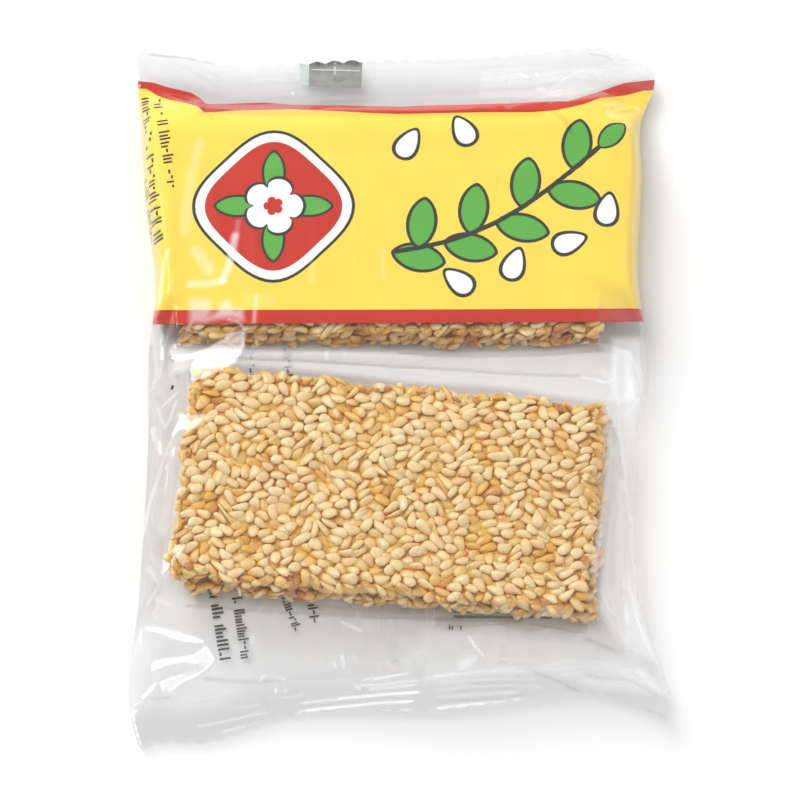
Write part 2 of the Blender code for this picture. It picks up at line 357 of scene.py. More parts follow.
def seeds_of_bar(name, bar):
    """Points, faces and values of every seed of one bar, as one mesh.

    The values are each seed's tone; how deep each point is sunk in the caramel coat, which
    darkens it partly by the caramel's own colour and partly as painted shade in the gaps; and a
    painted highlight that lightens the tops of the seeds that lie high. No point goes below the
    film under the bars.
    """
    draw = np.random.default_rng(bar["draw"])
    shape, shape_faces = seed_shape()
    parts = []
    for face, width, depth, counts, rim_only in faces_of_bar(name, bar):
        flat = depth > 10
        for seeds, (level, spread) in zip(counts, SEED_LAYERS):
            place, turn = settle(seeds, width - 1.3, depth - min(1.3, depth * 0.3), draw)
            edge = np.minimum(width / 2 - abs(place[:, 0]), depth / 2 - abs(place[:, 1]))
            height = level + draw.normal(0, spread, seeds)
            height -= 0.45 * np.clip(1 - edge / 1.6, 0, 1) if flat else 0.12
            kept = (edge < RIM_WIDTH) if rim_only else np.ones(seeds, bool)
            tilt = FLAT_TILT if flat else SIDE_TILT
            centre, axes, out = lay_seeds(place, turn, height, face, draw, tilt)
            parts.append((centre[kept], axes[kept], out[kept], height[kept]))
    centre, axes, out, height = (np.concatenate(column) for column in zip(*parts))
    count = len(centre)
    size = draw.normal(1, (0.11, 0.12, 0.15), (count, 3)).clip(0.70, 1.28)
    local = shape[None] * size[:, None]
    along = shape[None, :, :1] / SEED_LENGTH
    local[..., 1:] *= 1 + 2 * draw.normal(0, 0.15, (count, 1, 1)).clip(-0.3, 0.3) * along
    local[..., 1] += draw.normal(0, 0.35, (count, 1)) * along[..., 0] ** 2
    offset = np.einsum("nvk,nkc->nvc", local, axes)
    points = on_bar((centre[:, None] + offset).reshape(-1, 3), bar)
    points[:, 2] = np.maximum(points[:, 2], SEED_FLOOR)
    above = (offset * out[:, None]).sum(-1) + height[:, None]
    toast = 0.5 + 0.5 * np.sin(0.55 * centre[:, 0] + 1.3 * np.sin(0.31 * centre[:, 1] + bar["draw"]))
    toast = toast * (0.5 + 0.5 * np.sin(0.62 * centre[:, 1] + 1.1 * np.sin(0.27 * centre[:, 0])))
    tone = np.clip(0.78 * draw.random(count) + 0.42 * toast, 0, 1)
    tone = np.repeat(tone[:, None], len(shape), 1)
    apart = np.linalg.norm(on_bar(centre, bar)[:, None, :2] - AMBER_SPOTS, axis=-1)
    amber = np.exp(-((apart.min(1) / AMBER_REACH) ** 2)) * draw.uniform(1.2, 2.5, count)
    amber += 0.25 * (abs(out[:, 2]) < 0.5)
    # Points lower on a seed and deeper between seeds turn orange and then brown: partly the caramel coat's
    # own colour, and at the amber spots pooled caramel, partly painted shade in the gaps.
    glaze_and_depth_shade = np.clip(0.10 - above / 0.65 + amber[:, None], 0, 2)
    rise = (offset * out[:, None]).sum(-1) / (SEED_HEIGHT / 2)
    # Painted highlight: the tops of the seeds that lie high are lightened towards pale cream, more so the
    # higher a point stands on its seed.
    painted_crown_highlight = np.clip((rise - 0.1) / 0.8, 0, 1) * np.clip(0.7 + (height + 0.36) / 0.5, 0.1, 1)[:, None]
    faces = (shape_faces[None] + len(shape) * np.arange(count)[:, None, None]).reshape(-1, 3)
    return points, faces, {"tone": tone, "sunk": glaze_and_depth_shade, "painted_crown_highlight": painted_crown_highlight}


GLAZED = {"Coat_Weight": 1.0, "Coat_Roughness": 0.06, "Coat_IOR": 2.0}
GLOWING = {"Subsurface_Weight": 0.35, "Subsurface_Scale": 0.0007, "Subsurface_Radius": (1.0, 0.62, 0.25)}
CREAMS = (
    (0.0, (0.88, 0.68, 0.335)), (0.45, (0.83, 0.575, 0.24)), (0.80, (0.78, 0.485, 0.15)),
    (1.0, (0.70, 0.345, 0.065)),
)
# The orange and the brown darken sunken points: the caramel coat's own colour, deepened as painted shade in
# the gaps.
# The pale cream is a painted highlight on the tops of the seeds.
PAINTED_HIGHLIGHT_CREAM, ORANGE_GLAZE_AND_SHADE, BROWN_GLAZE_AND_SHADE = (0.96, 0.82, 0.55), (0.78, 0.42, 0.055), (0.54, 0.20, 0.035)
sesame, tree, shader = new_material("glazed_sesame", (0.86, 0.66, 0.40), 0.45, **GLAZED, **GLOWING)
cloud, bumps = mottled(tree, Scale=1100.0, Detail=6.0, Bump=0.55, Distance=0.0001)
sunk = reading(tree, "sunk")
# Painted highlight: the pale cream lightens the tops of the high seeds.
painted_crown_highlight = worked(tree, "MULTIPLY", reading(tree, "painted_crown_highlight"), 0.55)
# Orange and then brown with depth: partly the caramel coat's colour, partly painted shade in the gaps between
# seeds.
orange_glaze_and_shade = worked(tree, "ADD", sunk, mapped(tree, cloud, 0.35, 0.75, 0.0, 0.3), use_clamp=True)
depth = worked(tree, "SUBTRACT", sunk, 1.0, use_clamp=True)
colour = blended(tree, painted_crown_highlight, ramp(tree, reading(tree, "tone"), CREAMS), PAINTED_HIGHLIGHT_CREAM)
colour = blended(tree, orange_glaze_and_shade, colour, ORANGE_GLAZE_AND_SHADE)
colour = blended(tree, depth, colour, BROWN_GLAZE_AND_SHADE)
tree.links.new(colour, shader.inputs["Base Color"])
tree.links.new(mapped(tree, cloud, 0.42, 0.6, 0.25, 1.0), shader.inputs["Coat Weight"])
tree.links.new(bumps, shader.inputs["Normal"])
for name, bar in BARS.items():
    points, faces, values = seeds_of_bar(name, bar)
    make_piece(f"seeds_{name}", points, faces, sesame, "sesame", values)


# The film. One sheet of clear glossy polypropylene is wrapped round the bars into a tube,
# which is pinched flat and crimped between ridged jaws at both ends and cut by a toothed knife.
LEFT_EDGE = (
    (0.0, -42.8), (0.045, -44.3), (0.20, -43.1), (0.41, -42.0), (0.57, -42.0), (0.63, -41.3),
    (0.78, -43.3), (0.91, -44.4), (1.0, -45.5),
)
RIGHT_EDGE = (
    (0.0, 45.0), (0.028, 45.5), (0.115, 42.8), (0.20, 40.7), (0.29, 39.8), (0.38, 40.5),
    (0.53, 43.1), (0.66, 41.5), (0.815, 42.3), (0.93, 42.9), (0.97, 44.7), (1.0, 44.9),
)
BOTTOM_EDGE = (
    (0.0, -62.35), (0.03, -61.5), (0.117, -61.2), (0.28, -57.1), (0.36, -56.5), (0.58, -56.5),
    (0.76, -54.4), (0.85, -53.5), (0.95, -55.9), (1.0, -57.9),
)
TOP_EDGE = (
    (0.0, 61.95), (0.086, 61.3), (0.154, 60.2), (0.415, 60.4), (0.658, 60.6), (0.78, 61.2),
    (0.89, 62.3), (0.962, 60.2), (1.0, 58.75),
)
BOTTOM_SEAL_RISE = ((0.0, 0.9), (0.12, 1.0), (0.45, 2.6), (0.84, 3.4), (1.0, 2.4))
TOP_SEAL_RISE = ((0.0, 3.2), (0.15, 1.9), (0.5, 2.3), (0.88, 3.4), (1.0, 2.2))
BOTTOM_SEAL, TOP_SEAL = 6.7, 7.3
SEAL_GAP = 0.16
RIDGES, RIDGE_DEPTH = 5, 0.05
STACKS = ((-1.3, 26.9, np.radians(-0.6), 71.6), (-1.2, -19.3, np.radians(-5.2), 69.8))
STACK_DEPTH = 36.6
STACK_TOP = 8.5
UNDER_BARS = 0.28
AIR_LIFT = 0.0001
TUCK_ENDS, TUCK_HEIGHT, TUCK_HALF_WIDTH = ((-38.0, 2.9), (38.0, 0.2)), 6.8, 1.2
SIDE_HEIGHT, SIDE_RUN_OUT, SIDE_ROUND = 3.4, 0.12, 2.6
BAND_SHARES = (0.575, 0.62, 0.87, 0.935)
DOME_FALL, DOME_ROUND = 0.012, 2.2
IMPRINT = 0.06
GLINT_SLOPES = (0.29, 0.0)
GLINT_REACHES, GLINT_SPREAD, GLINT_SHIFT = (0.18, 0.4), 2.2, (0, 0.18)
# Widths and strengths of the strokes of haziness, painted glare and painted shade on the film; the painted
# glints on the bottom seal count more.
FACET_SOFT, PATCH_SOFT, THINNEST_STROKE = 0.9, 1.2, 0.34
SEAL_ROW, SEAL_GAIN, FULLEST_STROKE = 655, 1.6, 0.62
SEAL_VEIL = 0.09
POCKETS = ((-36.5, -46.5, 8.0, 1.3),)
TOOTH, TOOTH_DEPTH, TOOTH_REACH = 3.1, 0.55, 0.012
FILM_COLUMNS, FILM_BODY_ROWS, FILM_SEAL_ROWS = 261, 300, 40


def curve_through(points, at):
    """Values of a smooth curve through (place, value) points, in cubic pieces."""
    place, value = np.array(points, float).T
    slope = np.gradient(value, place)
    i = np.clip(np.searchsorted(place, at) - 1, 0, len(place) - 2)
    span = place[i + 1] - place[i]
    t = (at - place[i]) / span
    through = (1 + 2 * t) * (1 - t) ** 2 * value[i] + t * t * (3 - 2 * t) * value[i + 1]
    return through + span * (t * (1 - t) ** 2 * slope[i] - t * t * (1 - t) * slope[i + 1])


def film_plan(u, v):
    """Plan of the film: a patch blended between its four edges, u across and v along."""
    x = curve_through(LEFT_EDGE, v) * (1 - u) + curve_through(RIGHT_EDGE, v) * u
    y = curve_through(BOTTOM_EDGE, u) * (1 - v) + curve_through(TOP_EDGE, u) * v
    return x, y


def on_film(x, y):
    """Shares u and v of places in plan, by turns of reading u at v and v at u."""
    u, v = np.full_like(x, 0.5), np.full_like(x, 0.5)
    for _ in range(12):
        left, right = curve_through(LEFT_EDGE, v), curve_through(RIGHT_EDGE, v)
        u = np.clip((x - left) / (right - left), 0, 1)
        bottom, top = curve_through(BOTTOM_EDGE, u), curve_through(TOP_EDGE, u)
        v = np.clip((y - bottom) / (top - bottom), 0, 1)
    return u, v


LENGTH = np.mean([y for _, y in TOP_EDGE]) - np.mean([y for _, y in BOTTOM_EDGE])
BOTTOM_SHARE, TOP_SHARE = BOTTOM_SEAL / LENGTH, TOP_SEAL / LENGTH


def along_body(v):
    """Share of the way from the bottom seal to the top one, 0 or 1 on the seals."""
    return np.clip((v - BOTTOM_SHARE) / (1 - BOTTOM_SHARE - TOP_SHARE), 0, 1)


def outside_bars(x, y):
    """Distance outside the nearer stack of bars in plan, negative over the bars."""
    distances = []
    for middle_x, middle_y, turn, width in STACKS:
        along = (x - middle_x) * np.cos(turn) + (y - middle_y) * np.sin(turn)
        across = (y - middle_y) * np.cos(turn) - (x - middle_x) * np.sin(turn)
        distances.append(np.maximum(abs(along) - width / 2, abs(across) - STACK_DEPTH / 2))
    return np.minimum(*distances)


def fold_height(u, inner):
    """Height at which front and back meet: that of the seals, and of the side folds."""
    ends = curve_through(BOTTOM_SEAL_RISE, u) * (1 - inner) + curve_through(TOP_SEAL_RISE, u) * inner
    away = np.clip(np.minimum(inner, 1 - inner) / SIDE_RUN_OUT, 0, 1) ** 0.7
    return ends * (1 - away) + SIDE_HEIGHT * away


def pockets(x, y):
    """Heights of the round cushions of air that lift the front in places."""
    return sum(high * np.exp(-((x - a) ** 2 + (y - b) ** 2) / size**2) for a, b, size, high in POCKETS)


def four_beside(grid):
    """Sum of the four neighbours of each grid point, wrapped round at the ends."""
    return np.roll(grid, 1, 0) + np.roll(grid, -1, 0) + np.roll(grid, 1, 1) + np.roll(grid, -1, 1)


def drape(columns=60, rows=84, steps=2500, easing=24):
    """Heights of fold, front and back on a regular grid, as skins stretched over the bars.

    Each height moves again and again to the mean of its four neighbours. The front is
    kept above the bars, lifted a little by air and tucked in between the stacks, and
    last it is eased so that it bends softly over the edges of the bars.
    """
    u, v = np.meshgrid(np.linspace(0, 1, columns + 1), np.linspace(BOTTOM_SHARE, 1 - TOP_SHARE, rows + 1))
    x, y = film_plan(u, v)
    outside = outside_bars(x, y)
    dx, dy = (x[0, -1] - x[0, 0]) / columns, (y[-1, 0] - y[0, 0]) / rows
    both = 2 * (dx * dx + dy * dy)
    rim = fold_height(u, along_body(v))
    held = np.ones_like(rim, bool)
    held[1:-1, 1:-1] = False
    bars = np.where((outside < 0) & ~held, STACK_TOP, 0)
    resting = (outside < 3) & ~held
    (x0, y0), (x1, y1) = TUCK_ENDS
    tucked = abs(y - y0 - (y1 - y0) * (x - x0) / (x1 - x0)) < TUCK_HALF_WIDTH
    tucked &= (x > x0) & (x < x1) & (outside > 0)
    front, back = rim.copy(), rim.copy()
    for _ in range(steps):
        for skin in (front, back):
            beside = (np.roll(skin, 1, 1) + np.roll(skin, -1, 1)) * dy * dy / both
            before = (np.roll(skin, 1, 0) + np.roll(skin, -1, 0)) * dx * dx / both
            skin[:] = np.where(held, rim, beside + before)
        front[:] = np.where(held, rim, np.maximum(front + AIR_LIFT * dx * dx * dy * dy / both, bars))
        front[tucked] = np.minimum(front[tucked], TUCK_HEIGHT)
        back[resting] = UNDER_BARS
    share = along_body(v)
    for step in range(easing):
        eased = (four_beside(front) + front) / 5
        front = np.where(held | ((step > 6) & (share < 0.6)), front, eased)
    return rim, front, back


def sample(grid, u, v):
    """Reading of a regular grid between its points, at shares u across and v along."""
    rows, columns = grid.shape[0] - 1, grid.shape[1] - 1
    i = np.clip((v * rows).astype(int), 0, rows - 1)
    j = np.clip((u * columns).astype(int), 0, columns - 1)
    a, b = v * rows - i, u * columns - j
    if grid.ndim == 3:
        a, b = a[..., None], b[..., None]
    low = grid[i, j] * (1 - b) + grid[i, j + 1] * b
    high = grid[i + 1, j] * (1 - b) + grid[i + 1, j + 1] * b
    return low * (1 - a) + high * a


# Creases of the film: (start, end, half width, height). Heights below 0 are valleys.
FRONT_CREASES = (
    ((-37.4, -9.6), (-42.6, -27.0), 1.1, 0.55), ((-41.5, -19.4), (-42.8, -30.0), 0.9, 0.3),
    ((-26.5, 5.2), (36.0, 5.6), 0.55, -0.22), ((-26.6, 4.1), (5.0, 2.2), 0.5, -0.2),
    ((3.0, 2.3), (35.5, 0.6), 0.6, -0.22), ((-36.0, -39.2), (-4.0, -41.0), 0.5, -0.25),
    ((-8.0, -40.8), (28.0, -42.3), 0.6, -0.25), ((-33.5, -50.5), (-10.0, -50.6), 0.6, -0.2),
    ((23.1, -49.0), (44.3, -57.6), 0.8, -0.5), ((24.0, -50.4), (44.0, -58.4), 0.6, 0.3),
    ((30.6, -44.7), (39.8, -48.7), 0.9, -0.4), ((38.6, -50.2), (45.4, -54.9), 0.9, 0.4),
    ((35.6, -36.6), (37.9, -45.0), 0.8, 0.4), ((39.5, -36.0), (45.6, -54.5), 0.8, 0.35),
    ((-41.0, 59.8), (-29.5, 54.6), 0.8, 0.35), ((-36.5, 59.6), (-27.5, 53.8), 0.8, -0.3),
    ((-33.0, 59.8), (-25.5, 54.4), 0.7, 0.3), ((-44.5, 56.0), (-33.0, 49.0), 1.3, 0.5),
    ((-33.6, 52.0), (-32.2, 45.0), 1.2, -0.45), ((-39.4, 36.0), (-37.4, 12.0), 1.8, 0.40),
    ((-31.5, 36.0), (-29.0, 12.0), 1.6, 0.34), ((-24.5, 34.0), (-23.0, 13.0), 1.6, 0.30),
    ((-13.2, 30.0), (-12.8, 15.0), 1.6, 0.24), ((-6.6, 28.0), (-6.2, 16.0), 1.5, 0.20),
    ((28.0, 49.5), (42.5, 55.0), 1.3, 0.5), ((33.0, 47.0), (41.5, 51.5), 1.4, -0.4),
    ((41.5, 46.0), (39.5, 30.0), 0.9, 0.35), ((38.2, 8.0), (37.0, -2.0), 1.6, 0.35),
    ((39.5, 3.0), (42.8, -6.0), 1.3, 0.45), ((36.5, -2.0), (40.5, -12.0), 1.2, -0.35),
    ((36.4, -14.0), (35.2, -36.0), 1.0, 0.3), ((-37.0, 42.0), (-35.0, 22.0), 0.8, -0.25),
)
# Points of the picture, column and row in pixels, are places on the film that are seen from
# 72 degrees up.
ELEVATION, DISTANCE, PIXELS_PER_MM, PICTURE = np.radians(72.0), 800.0, 5.9, 800
LOOK_AT = np.array((0.6, -2.4, 4.0))
SIGHT = np.array((0, -np.cos(ELEVATION), np.sin(ELEVATION)))
# Facets of the film, pulled flat between creases: (slope across, slope along, outline in the
# picture, a column and a row in turn).
FACETS = (
    (0.26, 0.01, (170, 356, 180, 356.5, 190, 355, 200, 352, 207, 349, 212, 345, 218, 341, 224, 338, 226,
        334, 230, 332, 238, 331, 243, 329.5, 245, 333, 244.5, 345, 243, 352, 240, 357, 236, 362, 230, 365,
        224, 370, 216, 374, 206, 378, 196, 381, 189, 382.5, 190, 376, 188, 370, 189, 366, 193, 362, 197,
        359.5, 192, 357.5, 182, 358.5, 172, 359)),
    (0.26, -0.01, (177, 411.5, 184, 413.5, 193, 414.5, 203, 413, 207, 413.5, 205, 417, 202, 421, 197, 427,
        190, 432.5, 182, 430, 176, 431, 174, 436.5, 171, 440, 173, 432, 176, 426, 178, 420)),
    (0.25, -0.03, (147, 549, 153, 553, 158, 555, 163, 559, 168, 560, 172, 560, 171, 567, 166, 573, 161,
        578, 157, 570, 152, 560)),
    (0.26, -0.03, (173, 544, 187, 546, 181, 553, 176, 561, 172, 560, 174, 552)),
    (0.38, 0.03, (141, 626, 150, 627, 160, 627.5, 172, 629.5, 185, 634, 195, 637, 202, 640.5, 204, 644,
        198, 643.5, 185, 641.5, 172, 637.5, 160, 632, 148, 629.5)),
    (0.38, 0.02, (203, 643, 207, 649, 212, 656, 216, 660.5, 213, 666, 208, 670.5, 203, 673.5, 195, 678.5,
        186, 682, 180, 684.5, 173, 691, 167.5, 696.5, 164, 691, 162, 686, 158, 682, 162, 680, 172, 676,
        182, 673.5, 192, 673, 200, 670.5, 204, 668, 198, 664.5, 190, 661.5, 180, 662, 170, 663.5, 162,
        667, 156, 670, 152, 670, 152, 662, 156, 659, 165, 658, 175, 657, 190, 655.5, 195, 653.5, 200,
        648)),
    (0.38, 0.02, (157, 682, 154, 687, 149, 693, 143, 699, 141, 698.5, 147, 691, 152, 685)),
)
# Strokes of haziness, painted glare and painted shade on the film: above 0 a hazy white, partly the
# haziness of fine wrinkles and partly painted glare and painted light over shaded parts; below 0
# painted shade along creases and over shaded parts: (strength, half width in pixels or 0 for an
# outline, points of the picture, a column and a row in turn).
HAZINESS_GLARE_SHADE_STROKES = (
    (0.38, 0, (170, 348, 250, 349, 340, 350, 460, 354, 600, 351, 630, 352, 634, 400, 603, 402, 560, 397,
        520, 390, 480, 386, 440, 384, 400, 382, 360, 376, 320, 372, 280, 368, 240, 365, 200, 367, 172,
        374)),
    (0.34, 0, (612, 338, 640, 338, 645, 385, 641, 450, 636, 500, 636, 560, 642, 620, 655, 660, 640, 655,
        620, 640, 606, 620, 600, 610, 603, 560, 610, 500, 613, 420)),
    (0.22, 0, (420, 632, 590, 645, 640, 665, 660, 692, 600, 690, 530, 668, 425, 680)),
    (0.12, 0, (560, 70, 655, 66, 640, 76, 600, 90, 570, 98, 480, 98, 480, 72)),
    (-0.07, 0, (140, 345, 168, 345, 172, 420, 166, 500, 160, 590, 150, 620, 134, 640, 132, 620)),
    (0.3, 1.2, (641, 322, 643, 340, 645, 360, 647, 385, 647, 400, 645, 415, 643, 440, 641, 460, 638, 480,
        636, 500, 636, 515, 638, 540, 639, 560, 640, 580, 641, 600, 642, 618, 645, 632, 650, 645, 655,
        660, 660, 675, 664, 688, 668, 700)),
    (0.18, 4, (602, 346, 614, 348, 624, 352, 632, 359, 637, 368, 640, 380, 641, 392)),
    (0.22, 1.8, (597, 379, 604, 383, 612, 379)),
    (0.1, 6, (604, 372, 606, 375)),
    (0.28, 1.4, (630, 412, 634, 405, 639, 398)),
    (0.14, 2.5, (618, 425, 621, 445, 624, 465, 626, 485, 628, 505, 629, 520)),
    (-0.3, 1.2, (613, 430, 617, 440, 619, 455, 621, 467, 623, 478)),
    (-0.14, 3.5, (625, 495, 626, 520, 626, 545, 626, 570, 624, 600)),
    (0.12, 2.5, (632, 515, 633, 540, 633, 560, 634, 580, 636, 600, 639, 615)),
    (0.18, 1.3, (602, 584, 603, 595, 608, 606, 613, 614)),
    (0.2, 1.3, (600, 567, 603, 559)),
    (0.2, 2.2, (626, 650, 628, 640, 629, 632)),
    (-0.07, 3.2, (588, 641, 600, 645, 612, 650, 622, 658, 628, 666, 636, 667)),
    (0.1, 6, (640, 670, 652, 682, 662, 692)),
    (-0.45, 1, (583, 697, 605, 703, 625, 709, 645, 715, 662, 719)),
    (-0.28, 1, (590, 694, 620, 705, 645, 711, 662, 715)),
    (-0.15, 2.2, (585, 674, 605, 678, 628, 679, 640, 686, 656, 695)),
    (0.25, 1.3, (578, 637, 585, 634)),
    (0.15, 1.6, (587, 618, 589, 627, 586, 634)),
    (0.32, 5, (606, 412, 609, 430, 610, 450, 608, 475, 605, 500, 602, 525, 598, 548, 594, 572)),
    (-0.5, 1.2, (236, 358, 300, 360.7, 340, 363, 400, 367, 420, 367.5, 460, 370.3, 500, 373.3, 540, 375,
        580, 376.5)),
    (0.2, 1.5, (580, 377, 600, 381, 608, 383)),
    (-0.3, 1.3, (400, 353, 420, 354.5, 450, 356, 500, 356.5, 540, 355.5, 560, 354, 600, 350.5)),
    (0.12, 1.5, (490, 359, 550, 357.8, 562, 356.5)),
    (0.12, 4, (245, 352, 330, 354, 420, 357)),
    (0.18, 2.5, (327, 350, 327, 359)),
    (0.1, 2.5, (344, 350, 345, 357)),
    (0.22, 1.4, (157, 323, 156, 340, 155, 356, 157, 372, 153, 388)),
    (0.15, 1.8, (162, 325, 163, 345, 162, 365, 158, 378)),
    (0.25, 1.6, (175, 434, 168, 448, 164, 458, 161, 468, 157, 482, 152, 496, 148, 510, 146, 522, 143,
        536)),
    (0.2, 3, (153, 430, 156, 440, 162, 453)),
    (0.2, 1.3, (158, 409, 161, 417, 166, 427)),
    (0.35, 1.6, (163, 406, 170, 399, 178, 392)),
    (0.3, 1.9, (168, 424, 172, 414, 176, 402)),
    (0.38, 1.3, (170.5, 354, 173, 346, 180, 339)),
    (0.4, 1.2, (171, 358, 183, 357.5, 193, 355, 205, 350)),
    (-0.5, 2.2, (171, 357, 173, 361)),
    (-0.18, 3, (176, 372, 178, 376)),
    (0.3, 2.6, (157, 599, 163, 602.5, 168, 604)),
    (0.2, 1.6, (154, 613, 159, 604)),
    (0.15, 1.6, (148, 604, 155, 592, 159, 584)),
    (0.38, 2.2, (148, 568, 152, 573, 158, 581)),
    (-0.12, 4, (158, 398, 164, 405)),
    (0.4, 1.3, (191, 323, 188, 330, 186, 335)),
    (0.45, 1.3, (228, 319.5, 237, 321, 243, 327, 245, 335, 243, 347)),
    (0.14, 7, (172, 445, 170, 470, 168, 500, 163, 530)),
    (0.48, 5.5, (235, 236, 232, 252, 228, 268, 222, 280)),
    (0.36, 5.5, (222, 281, 206, 284, 190, 284)),
    (0.26, 9, (196, 252, 203, 260, 209, 270)),
    (0.12, 4, (236, 236, 238, 222)),
    (0.3, 3.2, (168, 250, 164, 263, 162, 280, 160, 302)),
    (0.16, 7, (184, 232, 187, 200, 193, 170, 200, 142)),
    (0.36, 0, (190, 299, 208, 299, 212, 309, 206, 322, 190, 322)),
    (0.46, 0, (208, 320, 217, 312, 222, 304, 228, 300, 232, 307, 236, 311, 242, 308, 243, 320, 232, 317,
        220, 318)),
    (0.3, 3, (256, 296, 255, 312, 254, 322)),
    (0.12, 2.2, (312, 250, 311, 282)),
    (0.14, 2.2, (383, 250, 383, 280)),
    (0.08, 9, (250, 300, 270, 300)),
    (-0.1, 6, (206, 112, 280, 113, 400, 114, 540, 113)),
    (-0.1, 3, (553, 112, 565, 120, 572, 132)),
    (0.2, 2.5, (637, 108, 643, 115)),
    (-0.12, 3, (203, 108, 212, 118)),
    (0.15, 1.7, (188, 65, 200, 70, 211, 78, 218, 82)),
    (0.12, 2, (184, 69, 195, 76, 205, 82, 212, 87)),
    (-0.12, 1.7, (180, 66, 192, 72, 205, 80, 216, 87)),
    (-0.12, 1.7, (200, 66, 210, 73, 220, 80)),
    (0.1, 2, (205, 64, 215, 69, 223, 75)),
    (-0.4, 1.2, (150, 54.5, 165, 56, 180, 57.5, 195, 60, 205, 62.5, 213, 64.5)),
    (-0.22, 1.4, (213, 64.5, 230, 65, 246, 69)),
    (0.12, 1.3, (230, 84, 260, 82, 285, 80, 300, 79)),
    (0.15, 1.2, (228, 99, 250, 97.5)),
    (0.28, 2.2, (291, 91, 294, 94)),
    (0.08, 10, (150, 68, 165, 80)),
    (0.15, 1.3, (505, 75, 516, 74.5)),
    (0.26, 2.4, (519, 73, 527, 76)),
    (0.3, 2.2, (536, 73, 538, 75)),
    (0.2, 1.3, (540, 78.5, 552, 78, 559, 77)),
    (0.22, 1.6, (552, 87, 560, 84, 563, 80, 565, 77)),
    (0.22, 1.4, (567, 77, 572, 74, 580, 71.5, 590, 70.5, 596, 71, 600, 77)),
    (0.2, 1.4, (578, 78, 586, 77)),
    (0.2, 3, (538, 88, 544, 90)),
    (0.26, 1.4, (553, 93, 561, 90)),
    (0.15, 1.8, (509, 82, 511, 82)),
    (0.12, 2.2, (585, 86, 592, 90)),
    (-0.15, 1.2, (605, 65, 618, 65.5, 632, 66)),
    (-0.12, 5, (622, 61, 640, 62, 652, 67)),
    (-0.14, 3, (590, 54, 606, 56, 613, 62)),
    (0.16, 1.6, (169, 667, 176, 665)),
    (0.14, 1.6, (186, 665, 192, 664, 195, 672)),
    (0.08, 6, (143, 642, 147, 656)),
    (0.3, 1.6, (133, 706, 140, 702)),
    (0.4, 2.2, (131, 715, 136, 711)),
    (-0.08, 1.4, (148, 698, 168, 698)),
    (-0.15, 1.2, (205, 679, 230, 681, 260, 682, 280, 681, 300, 679, 330, 677.5, 370, 678, 386, 677)),
    (0.1, 1.7, (180, 698, 200, 695, 220, 691, 240, 688)),
    (0.2, 1.6, (198, 726, 215, 723, 230, 720, 250, 716, 266, 713)),
    (0.22, 1.6, (222, 732, 240, 728, 258, 724, 275, 721, 282, 720)),
    (0.1, 1.6, (238, 708, 258, 706)),
    (0.36, 2.6, (261, 679, 265, 674)),
    (0.25, 1.6, (276, 676, 285, 679)),
    (0.28, 2.2, (276, 688, 276, 692)),
    (0.2, 1.6, (286, 689, 286, 692)),
    (0.42, 2.6, (253, 636, 252, 643)),
    (0.15, 1.3, (283, 698, 292, 697, 302, 694.5)),
    (0.22, 1.5, (302, 703, 320, 701, 340, 699)),
    (0.4, 2.3, (340, 698, 360, 696.5, 380, 695, 400, 693.5, 418, 692)),
    (0.52, 2.2, (297, 714, 303, 711, 320, 709, 340, 707, 360, 705, 380, 703, 412, 701.5)),
    (0.3, 1.3, (350, 714, 365, 712.5, 390, 711)),
    (0.4, 1.4, (397, 710.5, 411, 710.5)),
    (0.36, 1.9, (375, 679, 390, 676, 408, 673)),
    (0.3, 1.4, (365, 680, 372, 678)),
    (0.28, 1.5, (362, 685.5, 385, 684, 400, 682, 417, 681)),
    (0.28, 1.4, (370, 689, 390, 687.5, 414, 685)),
    (0.2, 2.6, (356, 686, 359, 689)),
    (0.15, 1.2, (311, 664, 331, 664.5)),
    (0.45, 2.4, (334, 663, 335, 667)),
    (0.46, 3, (342, 655, 344, 667)),
    (0.12, 2.2, (354, 656, 357, 664)),
    (0.42, 1.9, (341, 622, 350, 626, 361, 631)),
    (0.15, 1.6, (357, 612, 359, 622)),
    (0.12, 1.3, (390, 620, 391, 636)),
    (0.14, 0, (402, 637, 418, 637, 424, 645, 421, 655, 417, 672, 405, 672, 400, 655)),
    (-0.08, 1.3, (392, 660, 408, 661)),
    (0.1, 1.6, (386, 641, 402, 641)),
    (0.12, 2.6, (388, 660, 392, 670)),
    (-0.3, 1.1, (187, 606, 220, 607.5, 260, 611, 300, 613, 340, 615, 380, 617.5, 430, 619, 470, 620, 520,
        621.5)),
    (-0.1, 5, (200, 600, 260, 604, 300, 607, 340, 610, 430, 614)),
    (0.62, 2, (469, 637, 474, 645, 483, 655)),
    (0.6, 0, (459, 668, 460, 662, 466, 657, 476, 656.5, 473, 662, 465, 668)),
    (0.22, 1.4, (503, 659, 509, 661)),
    (-0.14, 3, (500, 662, 520, 664.5, 541, 665)),
    (-0.08, 1.6, (425, 660, 440, 657, 470, 658)),
    (-0.12, 1.4, (425, 675, 460, 673, 490, 671)),
    (0.1, 1.3, (490, 674, 510, 673, 532, 672)),
    (-0.2, 1.2, (435, 700, 470, 700, 500, 698, 522, 695)),
    (-0.15, 1.2, (455, 690.5, 500, 689, 522, 687)),
    (-0.13, 1.2, (470, 684, 522, 682)),
    (0.2, 1.3, (436, 676, 470, 672.5, 500, 671, 525, 671)),
    (0.16, 1.2, (436, 683, 470, 680, 505, 679, 535, 680)),
    (0.16, 1.2, (436, 690, 475, 686, 510, 685, 540, 687)),
    (0.18, 1.3, (440, 697, 480, 694, 515, 692)),
    (0.14, 0, (150, 60, 320, 66, 480, 68, 560, 66, 640, 62, 645, 76, 560, 96, 400, 98, 230, 98, 205, 90,
        150, 72)),
    (-0.2, 1.4, (533, 671, 545, 676, 560, 682)),
    (-0.3, 1.3, (566, 685, 580, 692, 592, 698)),
    (0.32, 3, (438, 708, 470, 705, 500, 703, 520, 700)),
    (0.12, 1.3, (448, 712, 458, 711)),
)


